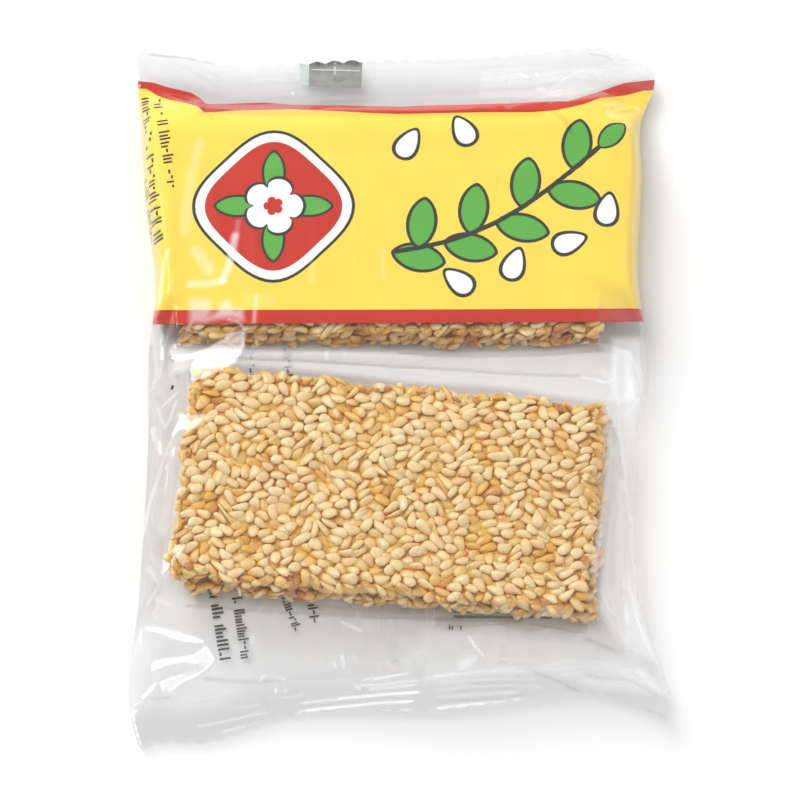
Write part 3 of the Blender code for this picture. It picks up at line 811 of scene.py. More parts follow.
def crease(x, y, start, end, half_width, height):
    """A straight tent ridge: full at the middle of its line, 0 at half_width beside it and
    at its ends, where it runs out as the square root of a sine."""
    start, end = np.array(start), np.array(end)
    length = np.hypot(*(end - start))
    way = (end - start) / length
    along = (x - start[0]) * way[0] + (y - start[1]) * way[1]
    aside = (y - start[1]) * way[0] - (x - start[0]) * way[1]
    ends = np.sqrt(np.sin(np.pi * np.clip(along / length, 0, 1)))
    return height * ends * np.clip(1 - abs(aside) / half_width, 0, 1)


def random_creases(draw):
    """Pleats fanning out of both seals, long folds down both sides, and faint crumples."""
    found = []
    for x, tilt in zip(np.linspace(-38, 39, 15) + draw.normal(0, 1.5, 15), draw.normal(0, 0.25, 15)):
        long, wide = draw.uniform(4, 9), draw.uniform(0.9, 2.0)
        high = draw.choice((-1, 1)) * draw.uniform(0.08, 0.28)
        found.append(((x, 53.6), (x + long * tilt, 53.6 - long), wide, high))
        found.append(((x - 1, -49.6), (x - 1 + long * tilt, -49.6 + long * 0.8), wide, -high))
    for side in (-1, 1):
        for y in np.linspace(-44, 46, 12) + draw.normal(0, 2, 12):
            x = side * draw.uniform(37.0, 41.0)
            long, lean = draw.uniform(8, 20), draw.normal(0, 0.10)
            high = draw.choice((-1, 1)) * draw.uniform(0.10, 0.30)
            found.append(((x, y), (x + long * lean, y - long), draw.uniform(0.9, 1.8), high))
    for _ in range(50):
        x, y, turn = draw.uniform(-36, 36), draw.uniform(-44, 48), draw.uniform(0, np.pi)
        long, high = draw.uniform(6, 20), draw.choice((-1, 1)) * draw.uniform(0.02, 0.09)
        end = (x + long * np.cos(turn), y + long * np.sin(turn))
        found.append(((x, y), end, draw.uniform(1.2, 3.0), high))
    return found


def inside(outline, x, y):
    """Which places lie in a closed outline, by counting the edges to their right."""
    found = np.zeros(len(x), bool)
    low, high = outline.min(0), outline.max(0)
    near = np.flatnonzero((x > low[0]) & (x < high[0]) & (y > low[1]) & (y < high[1]))
    a, b = outline, np.roll(outline, -1, 0)
    px, py = x[near][:, None], y[near][:, None]
    rise = np.where(b[:, 1] == a[:, 1], 1e-12, b[:, 1] - a[:, 1])
    passed = (a[:, 1] > py) != (b[:, 1] > py)
    crosses = passed & (px < (b[:, 0] - a[:, 0]) * (py - a[:, 1]) / rise + a[:, 0])
    found[near] = crosses.sum(1) % 2 == 1
    return found


def plan_of(points, height):
    """Places in plan of picture points, to a tenth of a millimetre.

    The line of sight through each point is followed down to the film: its place at a
    height gives the film's height there, which gives the next place, until both agree.
    """
    column, row = (np.reshape(points, (-1, 2, 1)) - PICTURE / 2).swapaxes(0, 1) / (PIXELS_PER_MM * DISTANCE)
    ways = column * (1, 0, 0) - row * (0, np.sin(ELEVATION), np.cos(ELEVATION)) - SIGHT
    eye = LOOK_AT + SIGHT * DISTANCE
    z = np.full(len(ways), LOOK_AT[2])
    for _ in range(30):
        places = eye + ways * ((z - eye[2]) / ways[:, 2])[:, None]
        z = 0.6 * z + 0.4 * height(places[:, 0], places[:, 1])
    return np.round(places[:, :2], 1)


def facet_relief(front, step=0.3, fade=8.0, rounds=6, sweeps=300):
    """A relief on a square grid in plan that turns each facet's outline to its slope.

    The relief is the height whose slopes come nearest to the wanted change of slope inside
    the outlines and to none outside, and which fades out over a few millimetres. Each
    point is moved again and again to its neighbours' mean less the wanted divergence;
    after each round what the slopes still lack is added to what is wanted. The second
    result is 1 on the facets and close to them.
    """
    def height(x, y):
        u, v = on_film(x, y)
        return sample(front, u, along_body(v)) + pockets(x, y)

    x, y = np.meshgrid(np.arange(-46, 46, step), np.arange(-60, 60, step))
    base = height(x, y)
    relief = np.zeros_like(base)
    aim_x, aim_y = np.zeros_like(base), np.zeros_like(base)
    hold = 4 + (step / fade) ** 2
    wanted = []
    for across, along, outline in FACETS:
        within = inside(plan_of(outline, height), x.ravel(), y.ravel()).reshape(x.shape)
        wanted.append((across, along, within))
    near = np.any([within for _, _, within in wanted], axis=0)
    for _ in range(5):
        near = near | np.roll(near, 1, 0) | np.roll(near, -1, 0) | np.roll(near, 1, 1) | np.roll(near, -1, 1)
    for _ in range(rounds):
        slope_y, slope_x = np.gradient(base + relief, step)
        for across, along, within in wanted:
            aim_x += np.where(within, across - slope_x, 0)
            aim_y += np.where(within, along - slope_y, 0)
        east, north = (aim_x + np.roll(aim_x, -1, 1)) / 2, (aim_y + np.roll(aim_y, -1, 0)) / 2
        source = step * (east - np.roll(east, 1, 1) + north - np.roll(north, 1, 0))
        for _ in range(sweeps):
            relief = (four_beside(relief) - source) / hold
    return relief, near.astype(float)


def film_skins():
    """Front and back points of the film on one grid of shares, with u and v of the grid.

    The ridges of the seals are sines of the share v, the knife's teeth move the last rows
    in and out, and creases and facets shape the sheet between the seals.
    """
    across = np.linspace(0, 1, FILM_COLUMNS)
    bottom = np.linspace(0, BOTTOM_SHARE, FILM_SEAL_ROWS + 1)
    body = np.linspace(BOTTOM_SHARE, 1 - TOP_SHARE, FILM_BODY_ROWS + 1)
    top = np.linspace(1 - TOP_SHARE, 1, FILM_SEAL_ROWS + 1)
    u, v = np.meshgrid(across, np.concatenate((bottom, body[1:-1], top)))
    x, y = film_plan(u, v)
    rim, tight_front, tight_back = drape()
    fold, front, back = (sample(skin, u, along_body(v)) for skin in (rim, tight_front, tight_back))
    left, right = curve_through(LEFT_EDGE, v), curve_through(RIGHT_EDGE, v)
    reach = np.clip(np.minimum(x - left, right - x) / SIDE_ROUND, 1e-6, 1)
    rounding = np.sqrt(1 - (1 - reach) ** 2) / reach
    front = fold + (front - fold) * rounding
    back = fold + (back - fold) * rounding
    for _ in range(12):
        for skin in (front, back):
            beside = skin[1:-1, :-2] + skin[1:-1, 2:] + skin[:-2, 1:-1] + skin[2:, 1:-1]
            skin[1:-1, 1:-1] = (beside + skin[1:-1, 1:-1]) / 5
    ridges = np.sin(2 * np.pi * RIDGES * np.clip(v / BOTTOM_SHARE, 0, 1))
    ridges = ridges + np.sin(2 * np.pi * RIDGES * np.clip((1 - v) / TOP_SHARE, 0, 1))
    ridges = ridges * RIDGE_DEPTH * (0.6 + 0.4 * np.sin(0.31 * x + 1.3 * np.sin(0.17 * x + 5 * v)))
    notch = 1 - abs(np.sin(np.pi * x / TOOTH))
    cut = np.clip(1 - v / TOOTH_REACH, 0, 1) - np.clip(1 - (1 - v) / TOOTH_REACH, 0, 1)
    inside_seals = np.clip(np.minimum(v - BOTTOM_SHARE * 0.8, 1 - TOP_SHARE * 0.8 - v) / 0.02, 0, 1)
    inside_rim = inside_seals * np.clip(reach * 1.6, 0, 1)
    draw = np.random.default_rng(5)
    relief = sum(crease(x, y, *line) for line in FRONT_CREASES)
    relief = relief + sum(crease(x, y, *line) for line in random_creases(draw))
    facets, near = (sample(grid, (x + 46) / 92, (y + 60) / 120) for grid in facet_relief(tight_front))
    lifted = facets + pockets(x, y)
    over = outside_bars(x, y)
    low, rise, fall, high = BAND_SHARES
    band = np.clip((v - low) / (rise - low), 0, 1) * np.clip((high - v) / (high - fall), 0, 1)
    edge = np.clip(np.minimum(x - left, right - x) / DOME_ROUND, 0, 1)
    dome = STACK_TOP - 0.15 - DOME_FALL * np.clip(over, 0, 20) ** 2
    dome = fold + (dome - fold) * np.sqrt(1 - (1 - edge) ** 2)
    front = front + np.clip(dome - front, 0, 20) * band
    calm = (1 - 0.3 * band) * (1 - near)
    seeds = np.sin(2.4 * x + 1.6 * np.sin(1.1 * y)) * np.sin(2.1 * y + 1.8 * np.sin(0.9 * x))
    relief = relief + IMPRINT * seeds * np.exp(-((over / 1.6) ** 2)) * (1 - band)
    least = np.maximum(STACK_TOP - 0.5 - 1.3 * np.clip(over - 0.6 * band, 0, 6), back + SEAL_GAP)
    front = front + calm * relief * inside_rim + lifted * np.clip(reach * 1.6, 0, 1)
    front = np.clip(front, least, STACK_TOP + 0.7)
    for _ in range(10):
        front = np.where((band > 0.5) & (reach > 0.1), (four_beside(front) + front) / 5, front)
    relief = sum(crease(x, y, *line) for line in random_creases(draw))
    back = np.where(over < 0.6, back, np.clip(back + 0.5 * relief * inside_rim, UNDER_BARS, front - SEAL_GAP))
    rim = np.zeros_like(u, bool)
    rim[[0, -1], :] = rim[:, [0, -1]] = True
    y = y + TOOTH_DEPTH * notch * cut
    front = np.where(rim, fold, front + SEAL_GAP / 2) + ridges
    back = np.where(rim, fold, np.minimum(back, front - 0.05 - ridges) - SEAL_GAP / 2) + ridges
    return u, v, np.stack((x, y, front), -1), np.stack((x, y, np.maximum(back, 0.12)), -1)


film_u, film_v, film_front, film_back = film_skins()


def skin_at(skin, u, v):
    """Points of a film skin at shares u and v, read between the skin's grid points."""
    column = np.interp(u, film_u[0], np.arange(film_u.shape[1])) / (film_u.shape[1] - 1)
    row = np.interp(v, film_v[:, 0], np.arange(film_v.shape[0])) / (film_v.shape[0] - 1)
    return sample(skin, column, row)


def film_height(x, y):
    """Height of the front film over places in plan."""
    return skin_at(film_front, *on_film(x, y))[..., 2]


def skin_normals(skin):
    """Unit normals of a skin's grid, pointing up."""
    along, across = np.gradient(skin, axis=0), np.gradient(skin, axis=1)
    normal = np.cross(across, along)
    return normal / (np.linalg.norm(normal, axis=-1, keepdims=True) + 1e-12)


def line_distance(places, x, y):
    """Distance of places from a line through points."""
    nearest = np.full(x.shape, 1e9)
    for start, end in zip(places, places[1:]):
        way = end - start
        t = np.clip(((x - start[0]) * way[0] + (y - start[1]) * way[1]) / (way @ way), 0, 1)
        nearest = np.minimum(nearest, (x - start[0] - t * way[0]) ** 2 + (y - start[1] - t * way[1]) ** 2)
    return np.sqrt(nearest)


def share_inside(places, x, y, soft):
    """1 inside an outline and 0 outside, with an even change of width soft across its edge."""
    apart = line_distance(np.concatenate((places, places[:1])), x, y)
    within = inside(places, x.ravel(), y.ravel()).reshape(x.shape)
    return np.clip(0.5 + np.where(within, apart, -apart) / soft, 0, 1)


def fine_lean(skin, normals, facets=()):
    """What a point's normal still lacks, in x and y, to have the slopes of its facet.

    A normal n stands for slopes -n_x / n_z and -n_y / n_z, so the lack is the difference
    of the slopes times n_z. Off the facets slopes near GLINT_SLOPES are spread apart, and
    those in a wider range are shifted along the pack, as fine wrinkles do, so that the
    light shows there only in thin lines.
    """
    x, y = skin[..., 0], skin[..., 1]
    slopes = -normals[..., :2] / normals[..., 2:]
    off = slopes - GLINT_SLOPES
    near, wide = (np.exp(-((off / reach) ** 2).sum(-1, keepdims=True)) for reach in GLINT_REACHES)
    lean = (-GLINT_SPREAD * off * near + wide * GLINT_SHIFT) * normals[..., 2:]
    for across, along, outline in facets:
        share = share_inside(plan_of(outline, film_height), x, y, FACET_SOFT)[..., None]
        lean = lean * (1 - share) + share * (slopes - (across, along)) * normals[..., 2:]
    return lean


def crimp_on(v):
    """1 on the seals and 0 between them."""
    return np.clip((BOTTOM_SHARE - v) / 0.008, 0, 1) + np.clip((v - 1 + TOP_SHARE) / 0.008 - 1.5, 0, 1)


def haziness_glare_shade_on(skin):
    """Haziness, painted glare and painted shade of the film at each point of its grid: full on
    a stroke's line and falling off beside it, or even inside its outline. The seals are hazy
    all over, and the painted glints on the bottom seal, below a row of the picture, count more."""
    x, y = skin[..., 0], skin[..., 1]
    haziness_glare_shade = SEAL_VEIL * crimp_on(film_v) * (1 - 0.5 * film_v)
    for strength, half, points in HAZINESS_GLARE_SHADE_STROKES:
        places, half = plan_of(points, film_height), half / PIXELS_PER_MM
        if strength > 0 and half and min(points[1::2]) > SEAL_ROW:
            strength = min(strength * SEAL_GAIN, FULLEST_STROKE)
        if half:
            broad = max(half, THINNEST_STROKE)
            share = np.clip(1 - (line_distance(places, x, y) / broad) ** 2, 0, 1) ** 1.4 * half / broad
        else:
            share = share_inside(places, x, y, PATCH_SOFT)
        haziness_glare_shade = haziness_glare_shade + strength * share
    return np.clip(haziness_glare_shade, -0.7, 0.7)


front_normals, back_normals = skin_normals(film_front), skin_normals(film_back)
film, tree, shader = new_material("clear_film", (0.88, 0.89, 0.90), 0.05, Metallic=1.0)
# The dark tint paints shade along creases and over shaded parts of the film; the white tints are its haziness
# and painted glare.
PAINTED_SHADE_TINT, HAZINESS_GLARE_TINT, FULL_HAZINESS_GLARE_TINT = (0.16, 0.155, 0.14), (0.87, 0.89, 0.91), (0.93, 0.94, 0.95)
facing = node(tree, "ShaderNodeLayerWeight", {"Blend": 0.5}).outputs["Facing"]
mirror = mapped(tree, worked(tree, "POWER", facing, 4.0), 0.0, 1.0, 0.10, 0.90)
lean = {key: reading(tree, f"lean_{key.lower()}") for key in "XY"}
lean = node(tree, "ShaderNodeCombineXYZ", lean).outputs["Vector"]
frames = {"convert_from": "OBJECT", "convert_to": "WORLD"}
lean = node(tree, "ShaderNodeVectorTransform", {"Vector": lean}, **frames).outputs["Vector"]
upright = node(tree, "ShaderNodeNewGeometry").outputs["Normal"]
leaning = node(tree, "ShaderNodeVectorMath", {0: upright, 1: lean}, operation="ADD").outputs["Vector"]
leaning = node(tree, "ShaderNodeVectorMath", {0: leaning}, operation="NORMALIZE").outputs["Vector"]
tree.links.new(leaning, shader.inputs["Normal"])
# Camera rays see the haziness, painted glare and painted shade as cover; shadow rays see only the seals'
# crimp, so the painted marks cast no shadow.
haziness_glare_shade = reading(tree, "haziness_glare_shade")
seen = worked(tree, "ABSOLUTE", haziness_glare_shade)
cast = worked(tree, "MULTIPLY", reading(tree, "crimp"), 0.25)
shadow = node(tree, "ShaderNodeLightPath").outputs["Is Shadow Ray"]
extra_cover = node(tree, "ShaderNodeMix", {"Factor": shadow, 2: seen, 3: cast}, data_type="FLOAT").outputs[0]
cover = worked(tree, "MULTIPLY_ADD", extra_cover, worked(tree, "SUBTRACT", 1.0, mirror), mirror)
tree.links.new(cover, shader.inputs["Alpha"])
tree.links.new(worked(tree, "DIVIDE", mirror, cover), shader.inputs["Metallic"])
tints = ((0.0, PAINTED_SHADE_TINT), (0.48, PAINTED_SHADE_TINT), (0.5, HAZINESS_GLARE_TINT), (0.52, FULL_HAZINESS_GLARE_TINT))
tree.links.new(ramp(tree, mapped(tree, haziness_glare_shade, -1.0), tints), shader.inputs["Base Color"])


def values_of(*columns):
    """A film mesh's numbers for each point, by name: lean in x and y, haziness with painted glare and shade,
    and crimp.
    """
    return dict(zip(("lean_x", "lean_y", "haziness_glare_shade", "crimp"), np.moveaxis(np.dstack(columns), -1, 0)))


# The front film carries the haziness, painted glare and painted shade.
values = values_of(fine_lean(film_front, front_normals, FACETS), haziness_glare_shade_on(film_front), crimp_on(film_v))
front_piece = make_piece("film_front", film_front, grid_faces(*film_v.shape), film, "film", values)
back_lean, bare = fine_lean(film_back, back_normals)[::2, ::2], np.zeros_like(film_v[::2, ::2])
values = values_of(back_lean, bare, crimp_on(film_v[::2, ::2]))
faces = grid_faces(*bare.shape)[:, ::-1]
make_piece("film_back", film_back[::2, ::2], faces, film, "film", values)
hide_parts("bag")


# The printed band. Opaque inks lie on the inside of the film: a yellow field between red
# stripes, with a sprig of leaves, seeds and a badge, wrapped round both sides to the back.
BAND_TOP = (
    (-45.2, 54.3), (-42.2, 54.0), (-39.8, 53.2), (-35.6, 52.2), (-34.0, 51.1), (-33.0, 50.1), (-28.6, 50.2),
    (-22.6, 50.4), (-18.0, 50.0), (-10.6, 49.8), (0.4, 49.5), (8.1, 49.8), (18.7, 50.0), (26.2, 50.4),
    (29.6, 50.4), (31.7, 51.1), (35.3, 52.4), (39.6, 54.0), (44.9, 54.6),
)
STRIPE_TOP = (
    (-45.2, 52.9), (-43.4, 52.9), (-41.3, 51.6), (-39.2, 50.8), (-36.1, 50.1), (-34.3, 49.5), (-33.1, 48.4),
    (-31.3, 48.4), (-28.0, 48.8), (-18.0, 49.0), (-10.5, 48.6), (-4.5, 48.2), (0.4, 48.0), (14.2, 48.3),
    (23.2, 48.3), (27.1, 48.6), (29.5, 49.1), (32.3, 49.8), (35.3, 51.1), (39.8, 51.7), (42.9, 52.6),
    (44.9, 52.7),
)
BAND_BOTTOM = ((-42.0, 9.7), (0.6, 9.9), (42.0, 10.2))
STRIPE_BOTTOM = ((-42.0, 12.2), (0.6, 12.3), (42.0, 12.5))
BAND_LEAN = 0.325
STEM_START, STEM_SPAN, STEM_SAG, STEM_HALF = (-1.5, 22.5), (37.0, 20.0), 4.5, 0.42
STEM_LEAVES, TIP_SIZE, TIP_LEAN, LEAF_LEANS = 9, 0.7, 46, (-12, 82)
LOOSE_SEEDS = (
    (2.0, 42.5, 60), (11.5, 45.0, 115), (20.0, 20.5, 70), (29.5, 24.5, 20), (10.5, 17.4, 140),
    (36.0, 30.5, 80),
)
BADGE = (-21.0, 31.0)
INK_DEPTH = 0.10
YELLOW, RED, GREEN, WHITE, DARK = range(5)
INKS = (
    ("yellow", (0.955, 0.695, 0.088)),
    ("red", (0.565, 0.027, 0.009)),
    ("green", (0.11, 0.42, 0.06)),
    ("white", (0.95, 0.95, 0.93)),
    ("dark", (0.035, 0.035, 0.03)),
)


def turned(points, middle, degrees):
    """Points turned about the origin and then moved to middle."""
    c, s = np.cos(np.radians(degrees)), np.sin(np.radians(degrees))
    x, y = points[:, 0], points[:, 1]
    return np.stack((middle[0] + x * c - y * s, middle[1] + x * s + y * c), -1)


def leaf(middle, degrees, length, width, points=26):
    """A pointed leaf: its half width follows a sine along its length."""
    t = np.linspace(0, 2 * np.pi, points, endpoint=False)
    x = -length / 2 * np.cos(t)
    y = width / 2 * np.sign(np.sin(t)) * abs(np.sin(t)) ** 1.35
    return turned(np.stack((x, y), -1), middle, degrees)


def drop(middle, degrees, length, width, points=26):
    """A seed outline: an oval narrowed towards one end."""
    t = np.linspace(0, 2 * np.pi, points, endpoint=False)
    x = length / 2 * np.cos(t)
    y = width / 2 * np.sin(t) * (1 - 0.38 * np.cos(t))
    return turned(np.stack((x, y), -1), middle, degrees)


def flower(middle, radius, petals=5, depth=0.24, degrees=0.0, points=60):
    """A blossom outline: a circle whose radius swells once for each petal."""
    t = np.linspace(0, 2 * np.pi, points, endpoint=False)
    r = radius * (1 - depth + depth * np.sqrt(abs(np.cos(petals * t / 2))) * 1.6)
    return turned(np.stack((r * np.cos(t), r * np.sin(t)), -1), middle, degrees)


def rounded_square(middle, half, power, degrees, points=72):
    """A square with round corners: a circle of a high power norm."""
    t = np.linspace(0, 2 * np.pi, points, endpoint=False)
    c, s = np.cos(t), np.sin(t)
    r = half / (abs(c) ** power + abs(s) ** power) ** (1 / power)
    return turned(np.stack((r * c, r * s), -1), middle, degrees)


def bar_outline(middle, degrees, length, width):
    """A plain rectangle."""
    half = np.array(((-length, -width), (length, -width), (length, width), (-length, width))) / 2
    return turned(half, middle, degrees)


def front_motifs():
    """Shapes on the front in the order they are printed, as (ink, outline)."""
    t = np.linspace(0.02, 0.98, STEM_LEAVES)
    stem = np.array(STEM_START) + t[:, None] * STEM_SPAN
    stem[:, 1] -= STEM_SAG * np.sin(np.pi * t)
    leans, sizes = [LEAF_LEANS[k % 2] for k in range(STEM_LEAVES)], [1.0] * STEM_LEAVES
    leans[-1], sizes[-1] = TIP_LEAN, TIP_SIZE
    shapes = []
    for base, lean, size in zip(stem, leans, sizes):
        middle = turned(np.array(((4.6 * size, 0.0),)), base, lean)[0]
        shapes.append((DARK, leaf(middle, lean, 9.6 * size, 5.4 * size)))
        shapes.append((GREEN, leaf(middle, lean, 8.4 * size, 4.2 * size)))
    aside = np.gradient(stem, axis=0)[:, ::-1] * (-1, 1)
    aside *= STEM_HALF / np.hypot(aside[:, :1], aside[:, 1:])
    shapes.append((DARK, np.concatenate((stem + aside, (stem - aside)[::-1]))))
    for x, y, lean in LOOSE_SEEDS:
        shapes += [(DARK, drop((x, y), lean, 6.6, 4.3)), (WHITE, drop((x, y), lean, 5.4, 3.1))]
    for ink, half in ((DARK, 12.1), (WHITE, 11.6), (RED, 10.2)):
        shapes.append((ink, rounded_square(BADGE, half, 3.4, 45)))
    for lean in (0, 90, 180, 270):
        spot = turned(np.array(((6.1, 0.0),)), BADGE, lean)[0]
        shapes += [(DARK, leaf(spot, lean, 8.4, 4.2)), (GREEN, leaf(spot, lean, 7.4, 3.3))]
    blossom = [(DARK, flower(BADGE, 4.9)), (WHITE, flower(BADGE, 4.4)), (RED, flower(BADGE, 1.5, degrees=36))]
    return shapes + blossom


def dashes(start, end, height, draw, weight=0.3):
    """Small strokes in a row from start to end, standing for a line of small type.

    Most strokes stand across the line, some lie along it at a random height.
    """
    start, end = np.array(start, float), np.array(end, float)
    length = np.hypot(*(end - start))
    way = (end - start) / length
    aside = np.array((-way[1], way[0]))
    lean = np.degrees(np.arctan2(way[1], way[0]))
    found, at = [], 0.0
    while at < length:
        place, kind = start + way * at, draw.random()
        if kind < 0.62:
            tall = height * draw.choice((0.65, 0.8, 1.0))
            found.append(bar_outline(place + aside * (tall - height) / 2, lean, weight, tall))
            at += weight * draw.uniform(1.6, 2.2)
        elif kind < 0.92:
            long = height * draw.uniform(0.25, 0.5)
            middle = place + way * (long - weight) / 2 + aside * height * draw.uniform(-0.4, 0.3)
            found.append(bar_outline(middle, lean, long, weight))
            at += long + weight
        else:
            at += height * 0.5
    return found


def printed(skin, normals, outlines, low, high, depth, extra=()):
    """Triangles of a printed area cut exactly along its outlines.

    The film's own grid points between the curves low and high, the points of those curves
    and the outlines are joined by a constrained triangulation in the film's shares.
    Returns the points, the triangles and the shares u and v of each triangle's middle.
    """
    stretch = np.array((88.0, LENGTH))
    rows = film_u.shape[0]
    u, v = film_u.ravel(), film_v.ravel()
    bottom, top = low(u), high(u)
    kept = (v > bottom + 0.002) & (v < top - 0.002)
    places = [np.stack((u[kept], v[kept]), -1)]
    edges, faces, first = [], [], int(kept.sum())
    loops = [np.stack(on_film(o[:, 0], o[:, 1]), -1) for o in outlines]
    across = film_u[0]
    border = np.concatenate((np.stack((across, low(across)), -1), np.stack((across, high(across)), -1)[::-1]))
    for loop in [border, *loops, *extra]:
        places.append(loop)
        ring = np.arange(len(loop))
        edges += np.stack((first + ring, first + np.roll(ring, -1)), -1).tolist()
        first += len(loop)
    places = np.concatenate(places) * stretch
    found = delaunay_2d_cdt([Vector(p) for p in places], edges, [], 0, 1e-5)
    shares = np.array([tuple(p) for p in found[0]]) / stretch
    triangles = np.array(found[2])
    middle = shares[triangles].mean(1)
    kept = (middle[:, 1] > low(middle[:, 0])) & (middle[:, 1] < high(middle[:, 0]))
    triangles, middle = triangles[kept], middle[kept]
    points = skin_at(skin, shares[:, 0], shares[:, 1]) - depth * skin_at(normals, shares[:, 0], shares[:, 1])
    return points, triangles, middle


def band_line(skin, line):
    """A curve over u, where a skin meets a wall that stands on a line in plan.

    The line is given at the height of the bars and the wall leans back, so lower parts of
    the skin are met farther on. The share v is moved until its place is on the wall.
    """
    place, wanted = np.array(line, float).T
    u = film_u[0]
    v = np.full_like(u, 0.6)
    for _ in range(20):
        x, y, z = np.moveaxis(skin_at(skin, u, v), -1, 0)
        lack = np.interp(x, place, wanted) + BAND_LEAN * (STACK_TOP - z) - y
        v = v + 0.7 * lack / LENGTH
    return lambda at: np.interp(at, u, v)


def dashed(lines, draw):
    """Dark strokes along lines that are (start, end, height, weight) of small type."""
    return [(DARK, o) for line in lines for o in dashes(*line[:3], draw, line[3])]


def marks_on(skin, normals, outlines, depth, columns=9):
    """Four-sided marks laid on a skin: each is a small grid between its corners."""
    across, along = np.meshgrid(np.linspace(0, 1, columns), np.linspace(0, 1, 5))
    a, b, c, d = (np.array(outlines)[:, k, None, None] for k in range(4))
    s, t = across[..., None], along[..., None]
    places = a * (1 - s) * (1 - t) + b * s * (1 - t) + c * s * t + d * (1 - s) * t
    u, v = on_film(places[..., 0], places[..., 1])
    points = skin_at(skin, u, v) + depth * skin_at(normals, u, v)
    faces = grid_faces(5, columns)[None] + 5 * columns * np.arange(len(outlines))[:, None, None]
    return points, faces.reshape(-1, 4)


draw = np.random.default_rng(21)
side_lines = (
    ((-41.2, 52.2), (-38.2, 34.5), 1.9, 0.36), ((-43.4, 52.6), (-40.6, 24.5), 1.8, 0.36),
    ((-43.2, 37.0), (-42.2, 24.0), 1.5, 0.36),
)
front_shapes = front_motifs() + dashed(side_lines, draw)
back_lines = [
    ((start, y), (end - draw.uniform(0, 6), y), 1.1, 0.26)
    for y in np.arange(44.0, 16.0, -2.3)
    for start, end in ((-34, -8), (9, 33))
]
back_shapes = dashed(back_lines, draw)

ink_materials = []
for name, colour in INKS:
    ink, tree, shader = new_material(f"{name}_ink", colour, 0.42)
    cloud, _ = mottled(tree, Scale=120.0, Detail=4.0)
    shade = mapped(tree, cloud, to_low=0.90, to_high=1.06)
    tint = node(tree, "ShaderNodeVectorMath", {0: colour, "Scale": shade}, operation="SCALE")
    tree.links.new(tint.outputs["Vector"], shader.inputs["Base Color"])
    ink_materials.append(ink)

for side, skin, normals, shapes, depth in (
    ("front", film_front, front_normals, front_shapes, INK_DEPTH),
    ("back", film_back, back_normals, back_shapes, -INK_DEPTH),
):
    borders = (BAND_BOTTOM, STRIPE_BOTTOM, STRIPE_TOP, BAND_TOP)
    band_low, stripe_low, stripe_high, band_high = (band_line(skin, line) for line in borders)
    across = film_u[0]
    lines = [np.stack((across, line(across)), -1) for line in (stripe_low, stripe_high)]
    rings = [np.concatenate((line, line[::-1] + (0, 2e-5))) for line in lines]
    points, triangles, middle = printed(
        skin, normals, [o for _, o in shapes], band_low, band_high, depth, rings
    )
    x, y = film_plan(middle[:, 0], middle[:, 1])
    ink_of = np.full(len(triangles), YELLOW)
    stripes = (middle[:, 1] < stripe_low(middle[:, 0])) | (middle[:, 1] > stripe_high(middle[:, 0]))
    ink_of[stripes] = RED
    for ink, outline in shapes:
        ink_of[inside(outline, x, y)] = ink
    for ink, (name, _) in enumerate(INKS):
        chosen = triangles[ink_of == ink]
        if len(chosen):
            used, chosen = np.unique(chosen, return_inverse=True)
            chosen = chosen.reshape(-1, 3)[:, :: -1 if side == "back" else 1]
            make_piece(f"{name}_print_{side}", points[used], chosen, ink_materials[ink], f"{name}_ink")


# The seam and the marks on the back. The two side edges of the sheet are heat-sealed
# together in one hazy strip down the middle of the back; beside it stand lines of small dark
# type, and a dark square that the packing machine reads is printed at the top. Under the
# lower bars a loose flap of film lies folded; its tan tint is a painted reflection of the bars.
SEAM_LEFT, SEAM_RIGHT, SEAM_DEPTH, FOLD_RISE = -2.8, 4.8, 0.10, 0.12
BACK_TYPE = (
    ((-31.1, -32.0), (-28.6, -47.0), 1.9, 0.36), ((-26.9, -35.3), (-25.1, -46.8), 1.8, 0.28),
    ((-18.6, -36.1), (-16.7, -41.4), 1.5, 0.24), ((-14.1, -37.4), (-13.6, -40.7), 1.6, 0.26),
    ((-25.0, 8.0), (-24.6, 2.2), 1.6, 0.26), ((-18.7, 8.0), (-18.0, 2.2), 1.6, 0.26),
    ((8.9, -41.2), (11.0, -41.3), 1.0, 0.24), ((-38.2, 0.8), (-37.4, 0.6), 0.8, 0.4),
)
DARK_BARS = (
    ((9.6, -38.7), (31.0, -38.9), (31.0, -38.5), (9.6, -38.3)),
    ((9.6, -39.6), (26.0, -39.8), (26.0, -39.4), (9.6, -39.2)),
    ((11.0, -37.9), (16.6, -37.9), (16.0, -37.0), (11.8, -37.0)),
)
FOLD_OUTLINE = (
    (6.5, -37.0), (6.5, -41.2), (10.0, -41.3), (14.0, -40.8), (17.4, -40.9), (19.0, -41.3), (22.0, -42.2),
    (24.0, -41.9), (26.0, -41.2), (28.0, -41.4), (30.5, -42.3), (31.6, -42.4), (33.0, -39.0), (33.4, -36.0),
)
EYE_MARK = ((-15.2, 55.6), (-6.1, 55.2), (-5.9, 62.5), (-15.3, 62.5))
EYE_STRIP = ((-16.8, 56.0), (-15.3, 56.0), (-15.4, 60.9), (-16.9, 60.9))
# The first of these pale lines is a painted highlight along a ridge of the crimped seal.
EYE_LINES_AND_RIDGE_HIGHLIGHT = (
    ((-14.8, 58.6), (-6.3, 58.3), (-6.3, 58.5), (-14.8, 58.85)),
    ((-10.9, 57.6), (-10.6, 57.6), (-10.5, 59.9), (-10.8, 59.9)),
    ((-13.6, 56.3), (-9.2, 56.1), (-9.2, 56.25), (-13.6, 56.5)),
)



def cloudy_ink(name, low, high):
    """An ink that varies between two colours in small clouds."""
    ink, tree, shader = new_material(name, low, 0.4)
    cloud, _ = mottled(tree, Scale=500.0, Detail=5.0)
    tree.links.new(ramp(tree, cloud, ((0.35, low), (0.65, high))), shader.inputs["Base Color"])
    return ink


